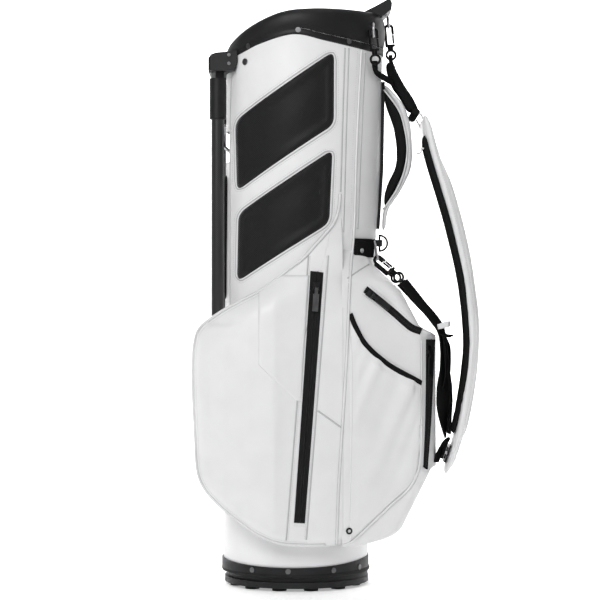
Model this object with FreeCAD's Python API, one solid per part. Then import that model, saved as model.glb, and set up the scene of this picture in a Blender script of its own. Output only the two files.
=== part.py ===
"""Golf stand bag: padded cuff on a tall oval body, folding legs driven by a hinged foot plate.

Frame, in millimetres: origin on the floor under the middle of the boot, +Z up,
+X towards the spine and the shoulder straps, -X towards the legs, -Y the near side.
"""
import FreeCAD
import Part
import math
import os

V = FreeCAD.Vector

# ---- body -------------------------------------------------------------------
# Oval sections of the body: height, leg side X, spine side X, half depth in Y.
BODY_SECTIONS = [
    (20, -110, 112, 101),
    (300, -109, 117, 103),
    (500, -108, 123, 105),
    (640, -107, 132, 107),
    (930, -105, 137, 109),
]
SKIN = 2.4                 # thickness of the laminated body skin
CUFF_PROUD = 1.5           # the cuff stands this far outside the body skin
CUFF_WALL = 14.0           # from the body's outer face to the mouth of the bag
CUFF_SKIRT_Z = 790.0       # underside of the cuff's inner skirt
# The cuff's lower edge and its sloped rim, seen along Y: X, Z.
CUFF_SEAM = [(-135, 802), (-89, 810), (-52, 824), (-1, 836), (47, 827), (97, 819), (150, 814)]
CUFF_RIM = [(-135, 806), (-106, 816), (-95, 834), (-68, 853), (-23, 870), (26, 875), (105, 872), (150, 877)]
CUFF_RIVETS = [(-70, 821), (5, 841), (81, 826)]
PANEL_SCREW = (-75, 798)
LIFT_TAB = [(106, 871), (108, 881), (126, 890), (142, 899), (146, 900), (149, 893), (148, 884), (141, 878), (118, 862)]
LIFT_HALF = 32.0
RAIL_DROP = 12.0           # the divider rails lie this far under the rim
RAIL_DEPTH = 22.0
RAIL_HALF = 5.0
DIVIDER_X = 14.0           # where the cross divider stands
DIVIDER_HALF = 1.2
STAY_R = 3.0

# ---- boot and foot plate ----------------------------------------------------
BOOT_TOP = [(-135, 45), (-60, 38), (0, 37), (60, 39), (135, 50)]
BOOT_X = 0.5
BOOT_RX = 113.5
BOOT_RY = 104.0
BOOT_UNDER_Z = 27.0
BOOT_LIP = 3.0
BOOT_FLOOR_Z = 48.0
BOOT_FLOOR = 4.0
BOOT_INSET = 6.5
HINGE_X = -5.0
HINGE_Z = 24.0
HINGE_Y = 61.0             # middle of each hinge lug
LUG_HALF = 4.0
LUG_R = 8.0
KNUCKLE_R = 7.0
KNUCKLE_LEN = 9.0
HINGE_PIN_R = 3.0
RUNNING = 0.05             # radial clearance of a pin in its knuckle
PLATE_STEP_Z = 14.0
PLATE_LEFT_RX = 109.0
PLATE_RIGHT_RX = 113.0
PLATE_RY = 98.0
PLATE_STEP_IN = 7.0
TREAD_H = 5.0

# ---- legs -------------------------------------------------------------------
LEG_X = -118.0
LEG_Y = 42.0
PIVOT_Z = 800.0
SPLAY = math.radians(25)   # the legs swing away from -X by this angle
LEG_R = 10.0
HUB_R = 12.5
HUB_LOW_Z = 714.0
HUB_TOP_Z = 776.0
NECK_HALF = 8.0
BRACKET = [(-132, 786), (-132, 805), (-127, 811), (-120, 813.5), (-104, 815), (-88, 817), (-87, 800), (-92, 786)]
BRACKET_HALF = 62.0
BRACKET_ROUND = 6.0
NOTCH_TOP = 810.0          # roof of the slot that the leg's neck turns in
FOOT_Z = 150.0
PIVOT_PIN_R = 2.5

# ---- actuator ---------------------------------------------------------------
ROD_X = -92.0
ROD_R = 3.0
WIRE_R = 2.0
ROD_FOOT_Z = 24.6
ROD_TOP_Z = 655.0

# ---- pockets ----------------------------------------------------------------
FACET_A = (-30.0, -147.0)  # plan corners of the pockets' outer faces
FACET_B = (75.0, -124.0)
FACET_C = (188.0, -82.0)
FACET_D = (214.0, -46.0)
SIDE_TAPE_W = 15.5
TAPE_T = 1.6
POCKET_WALL = 3.0

# ---- straps -----------------------------------------------------------------
STRAP_Y = 40.0
PAD_HALF = 29.0
LINING_GAP = 1.2           # between a pad's shell and its lining
HANDLE_GAP = 2.4           # the same in the carry handle, which bends more
HANDLE_HALF = 20.0
WEB_HALF = 12.5
WEB_T = 2.4


def box(x0, x1, y0, y1, z0, z1):
    return Part.makeBox(x1 - x0, y1 - y0, z1 - z0, V(x0, y0, z0))


def rod(start, end, radius):
    a = V(*start)
    b = V(*end)
    return Part.makeCylinder(radius, (b - a).Length, a, b - a)


def chain(points, radius):
    """A bent bar: straight runs with round elbows."""
    shape = rod(points[0], points[1], radius)
    for a, b in zip(points[1:], points[2:]):
        shape = shape.fuse([rod(a, b, radius), Part.makeSphere(radius, V(*a))])
    return shape.removeSplitter()


def spline(points):
    curve = Part.BSplineCurve()
    curve.interpolate([V(*p) for p in points])
    return curve.toShape()


def polygon_xz(points, y0, y1):
    """A prism along Y on a straight-sided outline given as X, Z."""
    wire = Part.makePolygon([V(x, y0, z) for x, z in points + points[:1]])
    return Part.Face(wire).extrude(V(0, y1 - y0, 0))


def slab_xz(outer, inner, y0, y1):
    """A prism along Y between two smooth edges that run the same way."""
    a = [V(x, y0, z) for x, z in outer]
    b = [V(x, y0, z) for x, z in inner]
    edges = [spline([tuple(p) for p in a]), Part.makeLine(a[-1], b[-1]),
             spline([tuple(p) for p in reversed(b)]), Part.makeLine(b[0], a[0])]
    return Part.Face(Part.Wire(edges)).extrude(V(0, y1 - y0, 0))


def ribbon_xz(points, thickness, y0, y1):
    """Flat webbing along a line of X, Z points, its width along Y."""
    left = []
    right = []
    for i, (x, z) in enumerate(points):
        before = points[max(i - 1, 0)]
        after = points[min(i + 1, len(points) - 1)]
        along = V(after[0] - before[0], 0, after[1] - before[1]).normalize()
        left.append((x - along.z * thickness / 2, z + along.x * thickness / 2))
        right.append((x + along.z * thickness / 2, z - along.x * thickness / 2))
    return polygon_xz(left + right[::-1], y0, y1)


def mirror_y(shape):
    return shape.mirror(V(0, 0, 0), V(0, 1, 0))


def both(shape):
    """The near shape and its mirror image on the far side, as separate solids."""
    return Part.makeCompound(shape.Solids + mirror_y(shape).Solids)


def oval(z, left, right, half_depth):
    centre = (left + right) / 2
    half_width = (right - left) / 2
    if half_width >= half_depth:
        edge = Part.Ellipse(V(centre, 0, z), half_width, half_depth).toShape()
    else:
        edge = Part.Ellipse(V(centre, half_depth, z), V(centre + half_width, 0, z), V(centre, 0, z)).toShape()
    return Part.Wire(edge)


def body_form(inset):
    """The solid oval form of the body, its sides moved inwards by inset."""
    wires = [oval(z, left + inset, right - inset, depth - inset) for z, left, right, depth in BODY_SECTIONS]
    return Part.makeLoft(wires, True, True)


def under(curve, drop=0.0):
    """Everything under a smooth line drawn in X, Z."""
    top = [V(x, -200, z - drop) for x, z in curve]
    floor_z = -50.0
    low_right = V(top[-1].x, -200, floor_z)
    low_left = V(top[0].x, -200, floor_z)
    edges = [spline([tuple(p) for p in top]), Part.makeLine(top[-1], low_right),
             Part.makeLine(low_right, low_left), Part.makeLine(low_left, top[0])]
    return Part.Face(Part.Wire(edges)).extrude(V(0, 400, 0))


def oval_disc(rx_left, rx_right, ry, x, z0, z1):
    """A disc whose leg half and spine half have different widths."""
    halves = []
    for rx, side in ((rx_left, -1), (rx_right, 1)):
        wire = oval(z0, x - rx, x + rx, ry)
        half = Part.Face(wire).extrude(V(0, 0, z1 - z0))
        keep = box(min(x, x + side * 300), max(x, x + side * 300), -300, 300, z0, z1)
        halves.append(half.common(keep))
    return halves[0].fuse(halves[1])


OUTER = body_form(0)
INNER = body_form(SKIN)
MOUTH = body_form(CUFF_WALL)
UNDER_SEAM = under(CUFF_SEAM)
UNDER_RIM = under(CUFF_RIM)
UNDER_BOOT = under(BOOT_TOP)


# ---- body and cuff ----------------------------------------------------------
def body_tube():
    tube = OUTER.cut(INNER).common(UNDER_SEAM).cut(UNDER_BOOT)
    wire_slot = box(-130, -80, -32, 32, 646, 694)
    return tube.cut(wire_slot)


def top_cuff():
    collar = body_form(-CUFF_PROUD).cut(UNDER_SEAM)
    skirt = INNER.common(box(-200, 200, -200, 200, CUFF_SKIRT_Z, 930))
    return collar.fuse(skirt).common(UNDER_RIM).cut(MOUTH).removeSplitter()


def rails():
    along = box(-150, 150, -RAIL_HALF, RAIL_HALF, 700, 900)
    across = box(DIVIDER_X - RAIL_HALF, DIVIDER_X + RAIL_HALF, -150, 150, 700, 900)
    band = under(CUFF_RIM, RAIL_DROP).cut(under(CUFF_RIM, RAIL_DROP + RAIL_DEPTH))
    return along.fuse(across).common(band).common(MOUTH).removeSplitter()


def divider_panels():
    """Four flat fabric walls under the rails, down to the boot's floor."""
    room = body_form(CUFF_WALL + 1).common(under(CUFF_RIM, RAIL_DROP + RAIL_DEPTH))
    low = BOOT_FLOOR_Z + BOOT_FLOOR
    gap = DIVIDER_HALF
    walls = [
        box(-80, DIVIDER_X - gap, -gap, gap, low, 900),
        box(DIVIDER_X + gap, 150, -gap, gap, low, 900),
        box(DIVIDER_X - gap, DIVIDER_X + gap, -150, -gap, low, 900),
        box(DIVIDER_X - gap, DIVIDER_X + gap, gap, 150, low, 900),
    ]
    return Part.makeCompound([wall.common(room).Solids[0] for wall in walls])


def stay_rods():
    """Glass fibre rods inside the skin that hold the cuff up from the boot."""
    low = BOOT_FLOOR_Z + BOOT_FLOOR
    runs = [(-52, 79, -52, 80), (80, 58, 96, 66)]
    ends = [(x0, side * y0, x1, side * y1) for x0, y0, x1, y1 in runs for side in (-1, 1)]
    rods = [rod((x0, y0, low - 1), (x1, y1, CUFF_SKIRT_Z + 1), STAY_R) for x0, y0, x1, y1 in ends]
    return Part.makeCompound([r.common(box(-200, 200, -200, 200, low, CUFF_SKIRT_Z)) for r in rods])


def lift_handle():
    """Moulded tab on the spine side of the cuff, to lift the bag by."""
    tab = polygon_xz(LIFT_TAB, -LIFT_HALF, LIFT_HALF)
    return tab.cut(body_form(-CUFF_PROUD).common(UNDER_RIM)).Solids[0]


def spine_bar():
    strip = box(90, 150, -10, 10, 548, 775)
    return strip.common(body_form(-5)).cut(OUTER)


def hip_pad():
    pad = box(-126, -80, -24, 24, 440, 630)
    return pad.makeFillet(4, [e for e in pad.Edges if e.BoundBox.XMax < -125]).cut(OUTER)


def mesh_pads():
    """Two padded mesh panels on the near face of the body."""
    outlines = [
        [(-91, 710), (59, 811), (59, 700), (-88, 603)],
        [(-86, 569), (57, 664), (52, 553), (-88, 465)],
    ]
    shell = body_form(-4).cut(OUTER)
    pads = [polygon_xz(outline, -130, -35).common(shell).Solids[0] for outline in outlines]
    return Part.makeCompound(pads)


# ---- boot -------------------------------------------------------------------
def boot():
    band = oval_disc(BOOT_RX, BOOT_RX, BOOT_RY, BOOT_X, BOOT_UNDER_Z, 60).common(UNDER_BOOT)
    sleeve = INNER.common(box(-200, 200, -200, 200, BOOT_UNDER_Z, BOOT_FLOOR_Z + BOOT_FLOOR))
    lip = BOOT_RX - BOOT_LIP
    low_room = oval_disc(lip, lip, BOOT_RY - BOOT_LIP, BOOT_X, BOOT_UNDER_Z, 36)
    high_room = body_form(BOOT_INSET).common(box(-200, 200, -200, 200, BOOT_UNDER_Z, BOOT_FLOOR_Z))
    shell = band.fuse(sleeve).cut(low_room).cut(high_room)
    for side in (-1, 1):
        y = side * HINGE_Y
        lug = box(HINGE_X - LUG_R, HINGE_X + LUG_R, y - LUG_HALF, y + LUG_HALF, HINGE_Z, BOOT_FLOOR_Z + 1)
        barrel = rod((HINGE_X, y - LUG_HALF, HINGE_Z), (HINGE_X, y + LUG_HALF, HINGE_Z), LUG_R)
        shell = shell.fuse(lug.fuse(barrel))
        shell = shell.cut(rod((HINGE_X, y - 30, HINGE_Z), (HINGE_X, y + 30, HINGE_Z), HINGE_PIN_R))
    return shell.cut(rod((ROD_X, 0, 40), (ROD_X, 0, 60), ROD_R + 2)).removeSplitter()


def foot_plate():
    low = oval_disc(PLATE_LEFT_RX, PLATE_RIGHT_RX, PLATE_RY, BOOT_X, TREAD_H, PLATE_STEP_Z)
    high = oval_disc(PLATE_LEFT_RX - PLATE_STEP_IN, PLATE_RIGHT_RX - 1, PLATE_RY - 4,
                     BOOT_X, PLATE_STEP_Z, HINGE_Z)
    plate = low.fuse(high)
    for side in (-1, 1):
        y = side * HINGE_Y
        ends = y - LUG_HALF - KNUCKLE_LEN, y + LUG_HALF + KNUCKLE_LEN
        knuckle = rod((HINGE_X, ends[0], HINGE_Z), (HINGE_X, ends[1], HINGE_Z), KNUCKLE_R)
        gap = LUG_HALF + 0.6
        slot = box(HINGE_X - LUG_R - 2, HINGE_X + LUG_R + 2, y - gap, y + gap, HINGE_Z - LUG_R - 2, 40)
        bore = rod((HINGE_X, ends[0] - 5, HINGE_Z), (HINGE_X, ends[1] + 5, HINGE_Z), HINGE_PIN_R + RUNNING)
        plate = plate.fuse(knuckle).cut(slot).cut(bore)
    return plate.removeSplitter()


def hinge_pins():
    length = LUG_HALF + KNUCKLE_LEN
    pins = [rod((HINGE_X, s * HINGE_Y - length, HINGE_Z), (HINGE_X, s * HINGE_Y + length, HINGE_Z), HINGE_PIN_R)
            for s in (-1, 1)]
    return Part.makeCompound(pins)


def tread_pads():
    """Rubber treads under the foot plate: a ring of blocks and a centre block."""
    pads = []
    for i in range(12):
        angle = math.radians(15 + 30 * i)
        x = BOOT_X + 92 * math.cos(angle)
        y = 80 * math.sin(angle)
        block = Part.makeCylinder(11, TREAD_H, V(x, y, 0))
        pads.append(block)
    pads.append(box(-28, 12, -30, 30, 0, TREAD_H))
    return Part.makeCompound(pads)


def rivets(places, radius, depth):
    """Dome head rivets, each at a point on the skin with its outward direction."""
    heads = []
    for point, out in places:
        direction = V(*out).normalize()
        head = Part.makeCylinder(radius, depth, V(*point), direction)
        heads.append(head)
    return heads


def on_oval(x, z, form_inset=0.0):
    """Point on the near side of the body at X and Z, with the outward direction."""
    left, right, depth = section_at(z)
    left += form_inset
    right -= form_inset
    depth -= form_inset
    centre = (left + right) / 2
    half = (right - left) / 2
    t = max(-1.0, min(1.0, (x - centre) / half))
    y = -depth * math.sqrt(1 - t * t)
    return (x, y, z), ((x - centre) / half ** 2, y / depth ** 2, 0)


def section_at(z):
    for low, high in zip(BODY_SECTIONS, BODY_SECTIONS[1:]):
        if z <= high[0]:
            t = (z - low[0]) / (high[0] - low[0])
            return [a + (b - a) * t for a, b in zip(low[1:], high[1:])]
    return BODY_SECTIONS[-1][1:]


def boot_rivets():
    places = []
    for x in (-64, -10, 58, 98):
        for side in (-1, 1):
            y = side * BOOT_RY * math.sqrt(1 - ((x - BOOT_X) / BOOT_RX) ** 2)
            out = ((x - BOOT_X) / BOOT_RX ** 2, y / BOOT_RY ** 2, 0)
            places.append(((x, y, 32), out))
    band = oval_disc(BOOT_RX, BOOT_RX, BOOT_RY, BOOT_X, BOOT_UNDER_Z, 60)
    heads = rivets(places, 4, 1.2)
    return Part.makeCompound([head.cut(band).Solids[0] for head in heads])


def cuff_rivets():
    heads = rivets([on_oval(x, z, -CUFF_PROUD) for x, z in CUFF_RIVETS], 4, 1.4)
    skin = body_form(-CUFF_PROUD)
    near = Part.makeCompound([head.cut(skin).Solids[0] for head in heads])
    return both(near)


def panel_screws():
    heads = rivets([on_oval(PANEL_SCREW[0], PANEL_SCREW[1], 0)], 5, 1.6)
    near = Part.makeCompound([head.cut(OUTER).Solids[0] for head in heads])
    return both(near)


# ---- legs -------------------------------------------------------------------
def turned(shape, angle):
    """Turn a shape about the near leg's own vertical line."""
    shape.rotate(V(LEG_X, -LEG_Y, 0), V(0, 0, 1), math.degrees(angle))
    return shape


def leg_bracket():
    block = polygon_xz(BRACKET, -BRACKET_HALF, BRACKET_HALF)
    upright = [e for e in block.Edges if e.BoundBox.XMax < BRACKET[0][0] + 1 and e.BoundBox.YLength < 1]
    block = block.makeFillet(BRACKET_ROUND, upright)
    body = body_form(-CUFF_PROUD).cut(UNDER_SEAM).fuse(OUTER)
    block = block.cut(body)
    for side in (-1, 1):
        y = -LEG_Y
        notch = box(LEG_X - 60, LEG_X + 10.5, y - NECK_HALF - 0.7, y + NECK_HALF + 0.7, 700, NOTCH_TOP)
        notch = turned(notch, SPLAY)
        pin = rod((LEG_X, y - 17, PIVOT_Z), (LEG_X, y + 17, PIVOT_Z), PIVOT_PIN_R)
        pin = turned(pin, SPLAY)
        if side > 0:
            notch = mirror_y(notch)
            pin = mirror_y(pin)
        block = block.cut(notch).cut(pin)
    return max(block.Solids, key=lambda s: s.Volume)


def pivot_pins():
    pin = rod((LEG_X, -LEG_Y - 13, PIVOT_Z), (LEG_X, -LEG_Y + 13, PIVOT_Z), PIVOT_PIN_R)
    return both(turned(pin, SPLAY))


def leg_hub():
    x = LEG_X
    y = -LEG_Y
    hub = Part.makeCylinder(HUB_R, HUB_TOP_Z - HUB_LOW_Z, V(x, y, HUB_LOW_Z))
    neck = box(x - 7, x + 7, y - NECK_HALF, y + NECK_HALF, HUB_TOP_Z - 2, PIVOT_Z)
    head = rod((x, y - NECK_HALF, PIVOT_Z), (x, y + NECK_HALF, PIVOT_Z), 9)
    bore = rod((x, y - 30, PIVOT_Z), (x, y + 30, PIVOT_Z), PIVOT_PIN_R + RUNNING)
    socket = Part.makeCylinder(LEG_R, 40, V(x, y, HUB_LOW_Z))
    hub = hub.fuse(neck).fuse(head).cut(bore).cut(socket).removeSplitter()
    return turned(hub, SPLAY)


def leg_tube():
    outer = Part.makeCylinder(LEG_R, HUB_LOW_Z + 40 - FOOT_Z - 10, V(LEG_X, -LEG_Y, FOOT_Z + 10))
    return outer.cut(Part.makeCylinder(LEG_R - 1.5, 700, V(LEG_X, -LEG_Y, FOOT_Z)))


def leg_foot():
    x = LEG_X
    y = -LEG_Y
    cap = Part.makeCone(8, 13, 22, V(x, y, FOOT_Z - 12))
    sleeve = Part.makeCylinder(13, 14, V(x, y, FOOT_Z + 10))
    bore = Part.makeCylinder(LEG_R, 60, V(x, y, FOOT_Z + 10))
    return cap.fuse(sleeve).cut(bore).removeSplitter()


def actuator():
    """The push rod with the two spring wires that spread to the leg hubs."""
    shaft = rod((ROD_X, 0, ROD_FOOT_Z), (ROD_X, 0, ROD_TOP_Z), ROD_R)
    block = box(ROD_X - 5, ROD_X + 4, -14, 14, ROD_TOP_Z, ROD_TOP_Z + 12)
    shape = shaft.fuse(block)
    for side in (-1, 1):
        points = [(ROD_X - 1, side * 8, ROD_TOP_Z + 6), (-111, side * 24, 676), (-110, side * 27, 708)]
        shape = shape.fuse(chain(points, WIRE_R))
    return shape.removeSplitter()


def rod_guides():
    guides = []
    for z in (180, 400, 600):
        block = box(-115, ROD_X + 8, -9, 9, z, z + 14).common(INNER)
        guides.append(block.cut(rod((ROD_X, 0, z - 5), (ROD_X, 0, z + 20), ROD_R + 0.5)))
    return Part.makeCompound(guides)


def bracket_screws():
    heads = []
    for z in (810, 797):
        heads.append(Part.makeCylinder(2.6, 1.4, V(-100, -62, z), V(0, -1, 0)))
    return both(Part.makeCompound(heads))


# ---- pockets ----------------------------------------------------------------
SIDE_OUTLINE = [
    (64, 498), (20, 492), (-45, 455), (-108, 420), (-134, 403), (-147, 380), (-151, 350), (-150, 290),
    (-146, 233), (-140, 186), (-131, 166), (-101, 136), (-40, 94), (-8, 86), (64, 86),
]
SEAM_X = 70.0              # where the side pocket and the ball pocket meet
BALL_OUTLINE = [
    (20, 496), (118, 494), (150, 462), (160, 453), (189, 398), (214, 386), (217, 330), (216, 250), (205, 180),
    (182, 142), (161, 100), (147, 90), (112, 78), (95, 86), (20, 86),
]
GUSSET_IN = (-80.0, -60.0)
GUSSET_OUT = (-152.0, -88.0)
ZIP_TOP = (32.0, 470.0)    # side pocket zip, X and Z of its ends
ZIP_LOW = (8.0, 120.0)
BALL_ZIP_TOP = 372.0
BALL_ZIP_LOW = 190.0
CASE_ZIP_A = (104.0, 452.0)
CASE_ZIP_B = (180.0, 396.0)
SLIP_EDGE = [(82, 412), (92, 384), (118, 350), (152, 326), (187, 304)]
GROMMET = (80.5, 95.0)


class Facet:
    """A flat upright face between two plan points, with X along it and -Y outwards."""

    def __init__(self, a, b):
        self.a = a
        self.angle = math.atan2(b[1] - a[1], b[0] - a[0])

    def along(self, x):
        """Distance along the facet of the point at this X."""
        return (x - self.a[0]) / math.cos(self.angle)

    def place(self, shape):
        """Move a shape from the facet's own frame (X along, -Y out) to the bag's."""
        turn = FreeCAD.Rotation(V(0, 0, 1), math.degrees(self.angle))
        shape.Placement = FreeCAD.Placement(V(self.a[0], self.a[1], 0), turn).multiply(shape.Placement)
        return shape


FRONT = Facet(FACET_A, FACET_B)
FLANK = Facet(FACET_B, FACET_C)
CORNER = Facet(FACET_C, FACET_D)


def pocket_tape(facet, line, width):
    """Zip tape lying on a facet along a line of X, Z points."""
    points = [(facet.along(x), z) for x, z in line]
    return facet.place(ribbon_xz(points, width, -TAPE_T, 0))


def inset(points, wall):
    """A closed outline drawn in by a wall's thickness on every side."""
    wire = Part.makePolygon([V(x, 0, z) for x, z in points + points[:1]])
    drawn = wire.makeOffset2D(-wall, 2)
    return [(v.X, v.Z) for v in drawn.OrderedVertexes]


def side_pocket():
    block = polygon_xz(SIDE_OUTLINE, -200, 0)
    bulge = Part.Arc(V(GUSSET_OUT[0], GUSSET_OUT[1], 0), V(-104, -133, 0), V(FACET_A[0], FACET_A[1], 0)).toShape()
    corners = [V(*FACET_A, 0), V(*FACET_B, 0), V(SEAM_X, -60, 0), V(*GUSSET_IN, 0), V(*GUSSET_OUT, 0)]
    end = V(SEAM_X, FACET_B[1] - (FACET_B[0] - SEAM_X) * math.tan(FRONT.angle), 0)
    corners[1] = end
    edges = [bulge] + [Part.makeLine(a, b) for a, b in zip(corners, corners[1:])]
    plan = Part.Face(Part.Wire(edges))
    room = Part.Face(plan.OuterWire.makeOffset2D(-POCKET_WALL, 2)).extrude(V(0, 0, 700))
    room = room.common(polygon_xz(inset(SIDE_OUTLINE, POCKET_WALL), -200, 0)).cut(body_form(-POCKET_WALL))
    shape = block.common(plan.extrude(V(0, 0, 700))).cut(OUTER).cut(room)
    return max(shape.Solids, key=lambda s: s.Volume)


def ball_pocket():
    block = polygon_xz(BALL_OUTLINE, -200, 200)
    near = [(SEAM_X + 0.2, FACET_B[1] - (FACET_B[0] - SEAM_X) * math.tan(FRONT.angle)), FACET_B, FACET_C, FACET_D]
    far = [(x, -y) for x, y in reversed(near)]
    plan = Part.Face(Part.makePolygon([V(x, y, 0) for x, y in near + far + near[:1]]))
    room = Part.Face(plan.OuterWire.makeOffset2D(-POCKET_WALL, 2)).extrude(V(0, 0, 700))
    room = room.common(polygon_xz(inset(BALL_OUTLINE, POCKET_WALL), -200, 200)).cut(body_form(-1 - POCKET_WALL))
    shape = block.common(plan.extrude(V(0, 0, 700))).cut(body_form(-1)).cut(room)
    return max(shape.Solids, key=lambda s: s.Volume)


def ball_panel_tapes():
    near = pocket_tape(CORNER, [(201, BALL_ZIP_TOP), (201, BALL_ZIP_LOW)], 10)
    return both(near)


def case_tape():
    return pocket_tape(FLANK, [CASE_ZIP_A, CASE_ZIP_B], 11)


def slip_binding():
    return both(pocket_tape(FLANK, SLIP_EDGE, 6))


def grommets():
    ring = Part.makeCylinder(5, 1.5, V(0, 0, 0), V(0, -1, 0)).cut(Part.makeCylinder(2.5, 2, V(0, 0.2, 0), V(0, -1, 0)))
    ring.translate(V(FLANK.along(GROMMET[0]), 0, GROMMET[1]))
    return both(FLANK.place(ring))


# A zip slider in its own frame: tape in the XZ plane, -Y outwards, Z up the zip.
SLIDER_W = 10.0
SLIDER_H = 13.0
SLIDER_T = 4.0
EYE_Y = -3.4
EYE_Z = -3.0
EYE_PIN_R = 0.9
PULL_W = 9.0
PULL_LEN = 34.0


def slider_parts():
    """The slider with its eye pin, and the pull that hangs from it."""
    block = box(-SLIDER_W / 2, SLIDER_W / 2, -1.8, 0, -SLIDER_H / 2, SLIDER_H / 2)
    for side in (-1, 1):
        x = side * 4.0
        ear = box(x - 1.0, x + 1.0, -4.8, -1.8, EYE_Z - 2, EYE_Z + 2)
        block = block.fuse(ear)
    pin = rod((-4.5, EYE_Y, EYE_Z), (4.5, EYE_Y, EYE_Z), EYE_PIN_R)
    slider = block.fuse(pin).removeSplitter()
    barrel = rod((-2.5, EYE_Y, EYE_Z), (2.5, EYE_Y, EYE_Z), 1.4)
    neck = box(-2.5, 2.5, EYE_Y - 1.2, EYE_Y + 0.3, EYE_Z - 9, EYE_Z)
    tag = box(-PULL_W / 2, PULL_W / 2, EYE_Y - 1.2, EYE_Y + 0.9, EYE_Z - PULL_LEN, EYE_Z - 8)
    bore = rod((-5, EYE_Y, EYE_Z), (5, EYE_Y, EYE_Z), EYE_PIN_R + RUNNING)
    pull = barrel.fuse(neck).fuse(tag).cut(bore).removeSplitter()
    return slider, pull


def on_facet(facet, parts, x, z, lean):
    """Set slider parts on a facet at X, Z, leaned by an angle in the facet's plane."""
    placed = []
    for part in parts:
        piece = part.copy()
        piece.rotate(V(0, 0, 0), V(0, 1, 0), lean)
        piece.translate(V(facet.along(x), -TAPE_T - 0.2, z))
        placed.append(facet.place(piece))
    return placed


def side_zip_lean():
    run = FRONT.along(ZIP_TOP[0]) - FRONT.along(ZIP_LOW[0])
    return math.degrees(math.atan2(run, ZIP_TOP[1] - ZIP_LOW[1]))


def case_zip_lean():
    run = FLANK.along(CASE_ZIP_A[0]) - FLANK.along(CASE_ZIP_B[0])
    return math.degrees(math.atan2(run, CASE_ZIP_A[1] - CASE_ZIP_B[1]))


def side_zip_parts():
    t = 12.0 / (ZIP_TOP[1] - ZIP_LOW[1])
    x = ZIP_TOP[0] + (ZIP_LOW[0] - ZIP_TOP[0]) * t
    return on_facet(FRONT, slider_parts(), x, ZIP_TOP[1] - 12, side_zip_lean())


def ball_zip_parts():
    return on_facet(CORNER, slider_parts(), 201, BALL_ZIP_TOP - 10, 0)


def case_zip_parts():
    t = 0.1
    x = CASE_ZIP_A[0] + (CASE_ZIP_B[0] - CASE_ZIP_A[0]) * t
    z = CASE_ZIP_A[1] + (CASE_ZIP_B[1] - CASE_ZIP_A[1]) * t
    return on_facet(FLANK, slider_parts(), x, z, case_zip_lean())


# ---- carry handle and shoulder straps ----------------------------------------
HANDLE_OUTER = [(137, 773), (165, 743), (174, 722), (180, 701), (182, 656), (177, 636), (159, 604), (140, 576), (138, 545)]
HANDLE_SPLIT = [(137, 762), (159, 732), (168, 706), (173, 670), (168, 636), (156, 607), (137, 579), (135.5, 545)]
HANDLE_INNER = [(137, 750), (148, 723), (155, 701), (159, 670), (157, 644), (137, 604)]
PAD_OUTER = [(196, 727), (205, 708), (214, 676), (226, 638), (242, 589), (259, 520), (268, 464), (275, 403),
             (273, 342), (267, 291), (257, 241), (249, 222), (240, 196), (228, 166)]
PAD_SPLIT = [(190, 716), (197, 695), (204, 665), (212, 638), (236, 555), (256, 468), (265, 382), (262, 332),
             (256, 291), (248, 251), (242, 222), (234, 196), (224, 174)]
PAD_INNER = [(186, 708), (192, 688), (198, 661), (206, 634), (230, 553), (250, 467), (259, 382), (256, 332),
             (250, 291), (242, 253), (237, 230)]
FAR_OUT = 12.0             # the far strap hangs this much further out than the near one
FAR_SPAN = 100.0           # and reaches that within this distance of its top


def gap_free(points, gap):
    """The same line moved to its left by a gap, to leave room between two slabs."""
    out = []
    for i, (x, z) in enumerate(points):
        x0, z0 = points[max(i - 1, 0)]
        x1, z1 = points[min(i + 1, len(points) - 1)]
        length = math.hypot(x1 - x0, z1 - z0)
        out.append((x + gap * (z1 - z0) / length, z - gap * (x1 - x0) / length))
    return out


def hung(points, far):
    """A strap's line, which on the far side hangs further out below its top."""
    top = points[0][1]
    return [(x + far * FAR_OUT * min(1.0, (top - z) / FAR_SPAN), z) for x, z in points]


def handle_shell():
    slab = slab_xz(HANDLE_OUTER, HANDLE_SPLIT, -HANDLE_HALF, HANDLE_HALF)
    return max(slab.cut(body_form(-5)).Solids, key=lambda s: s.Volume)


def handle_lining():
    edge = gap_free(HANDLE_SPLIT[:-1], HANDLE_GAP)
    slab = slab_xz(edge, HANDLE_INNER, -HANDLE_HALF + 2, HANDLE_HALF - 2)
    return max(slab.cut(body_form(-5)).Solids, key=lambda s: s.Volume)


def shoulder_pad(far):
    slab = slab_xz(hung(PAD_OUTER, far), hung(PAD_SPLIT, far), -STRAP_Y - PAD_HALF, -STRAP_Y + PAD_HALF)
    return slab.cut(strap_yoke()).Solids[0]


def pad_lining(far):
    edge = gap_free(hung(PAD_SPLIT[:-2], far), LINING_GAP)
    slab = slab_xz(edge, hung(PAD_INNER, far), -STRAP_Y - PAD_HALF + 3, -STRAP_Y + PAD_HALF - 3)
    return slab.cut(strap_yoke()).Solids[0]


YOKE_OUTER = [(154, 806), (155, 796), (169, 770), (179, 755), (187, 742), (193, 730)]
YOKE_INNER = [(141, 806), (142, 792), (150, 769), (159, 756), (167, 744), (175, 727)]


def strap_yoke():
    """The Y-piece that gathers both shoulder pads at the top."""
    slab = slab_xz(YOKE_OUTER, YOKE_INNER, -17, 17)
    spread = [(175, 727), (193, 730), (193, 722), (176, 718)]
    bar = polygon_xz(spread, -STRAP_Y - 20, STRAP_Y + 20)
    return slab.fuse(bar).removeSplitter()


# ---- strap hardware -----------------------------------------------------------
HOOK_W = 11.0
HOOK_H = 32.0
WIRE = 2.1
EYE_R = 7.0
GATE_R = 1.6


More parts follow.
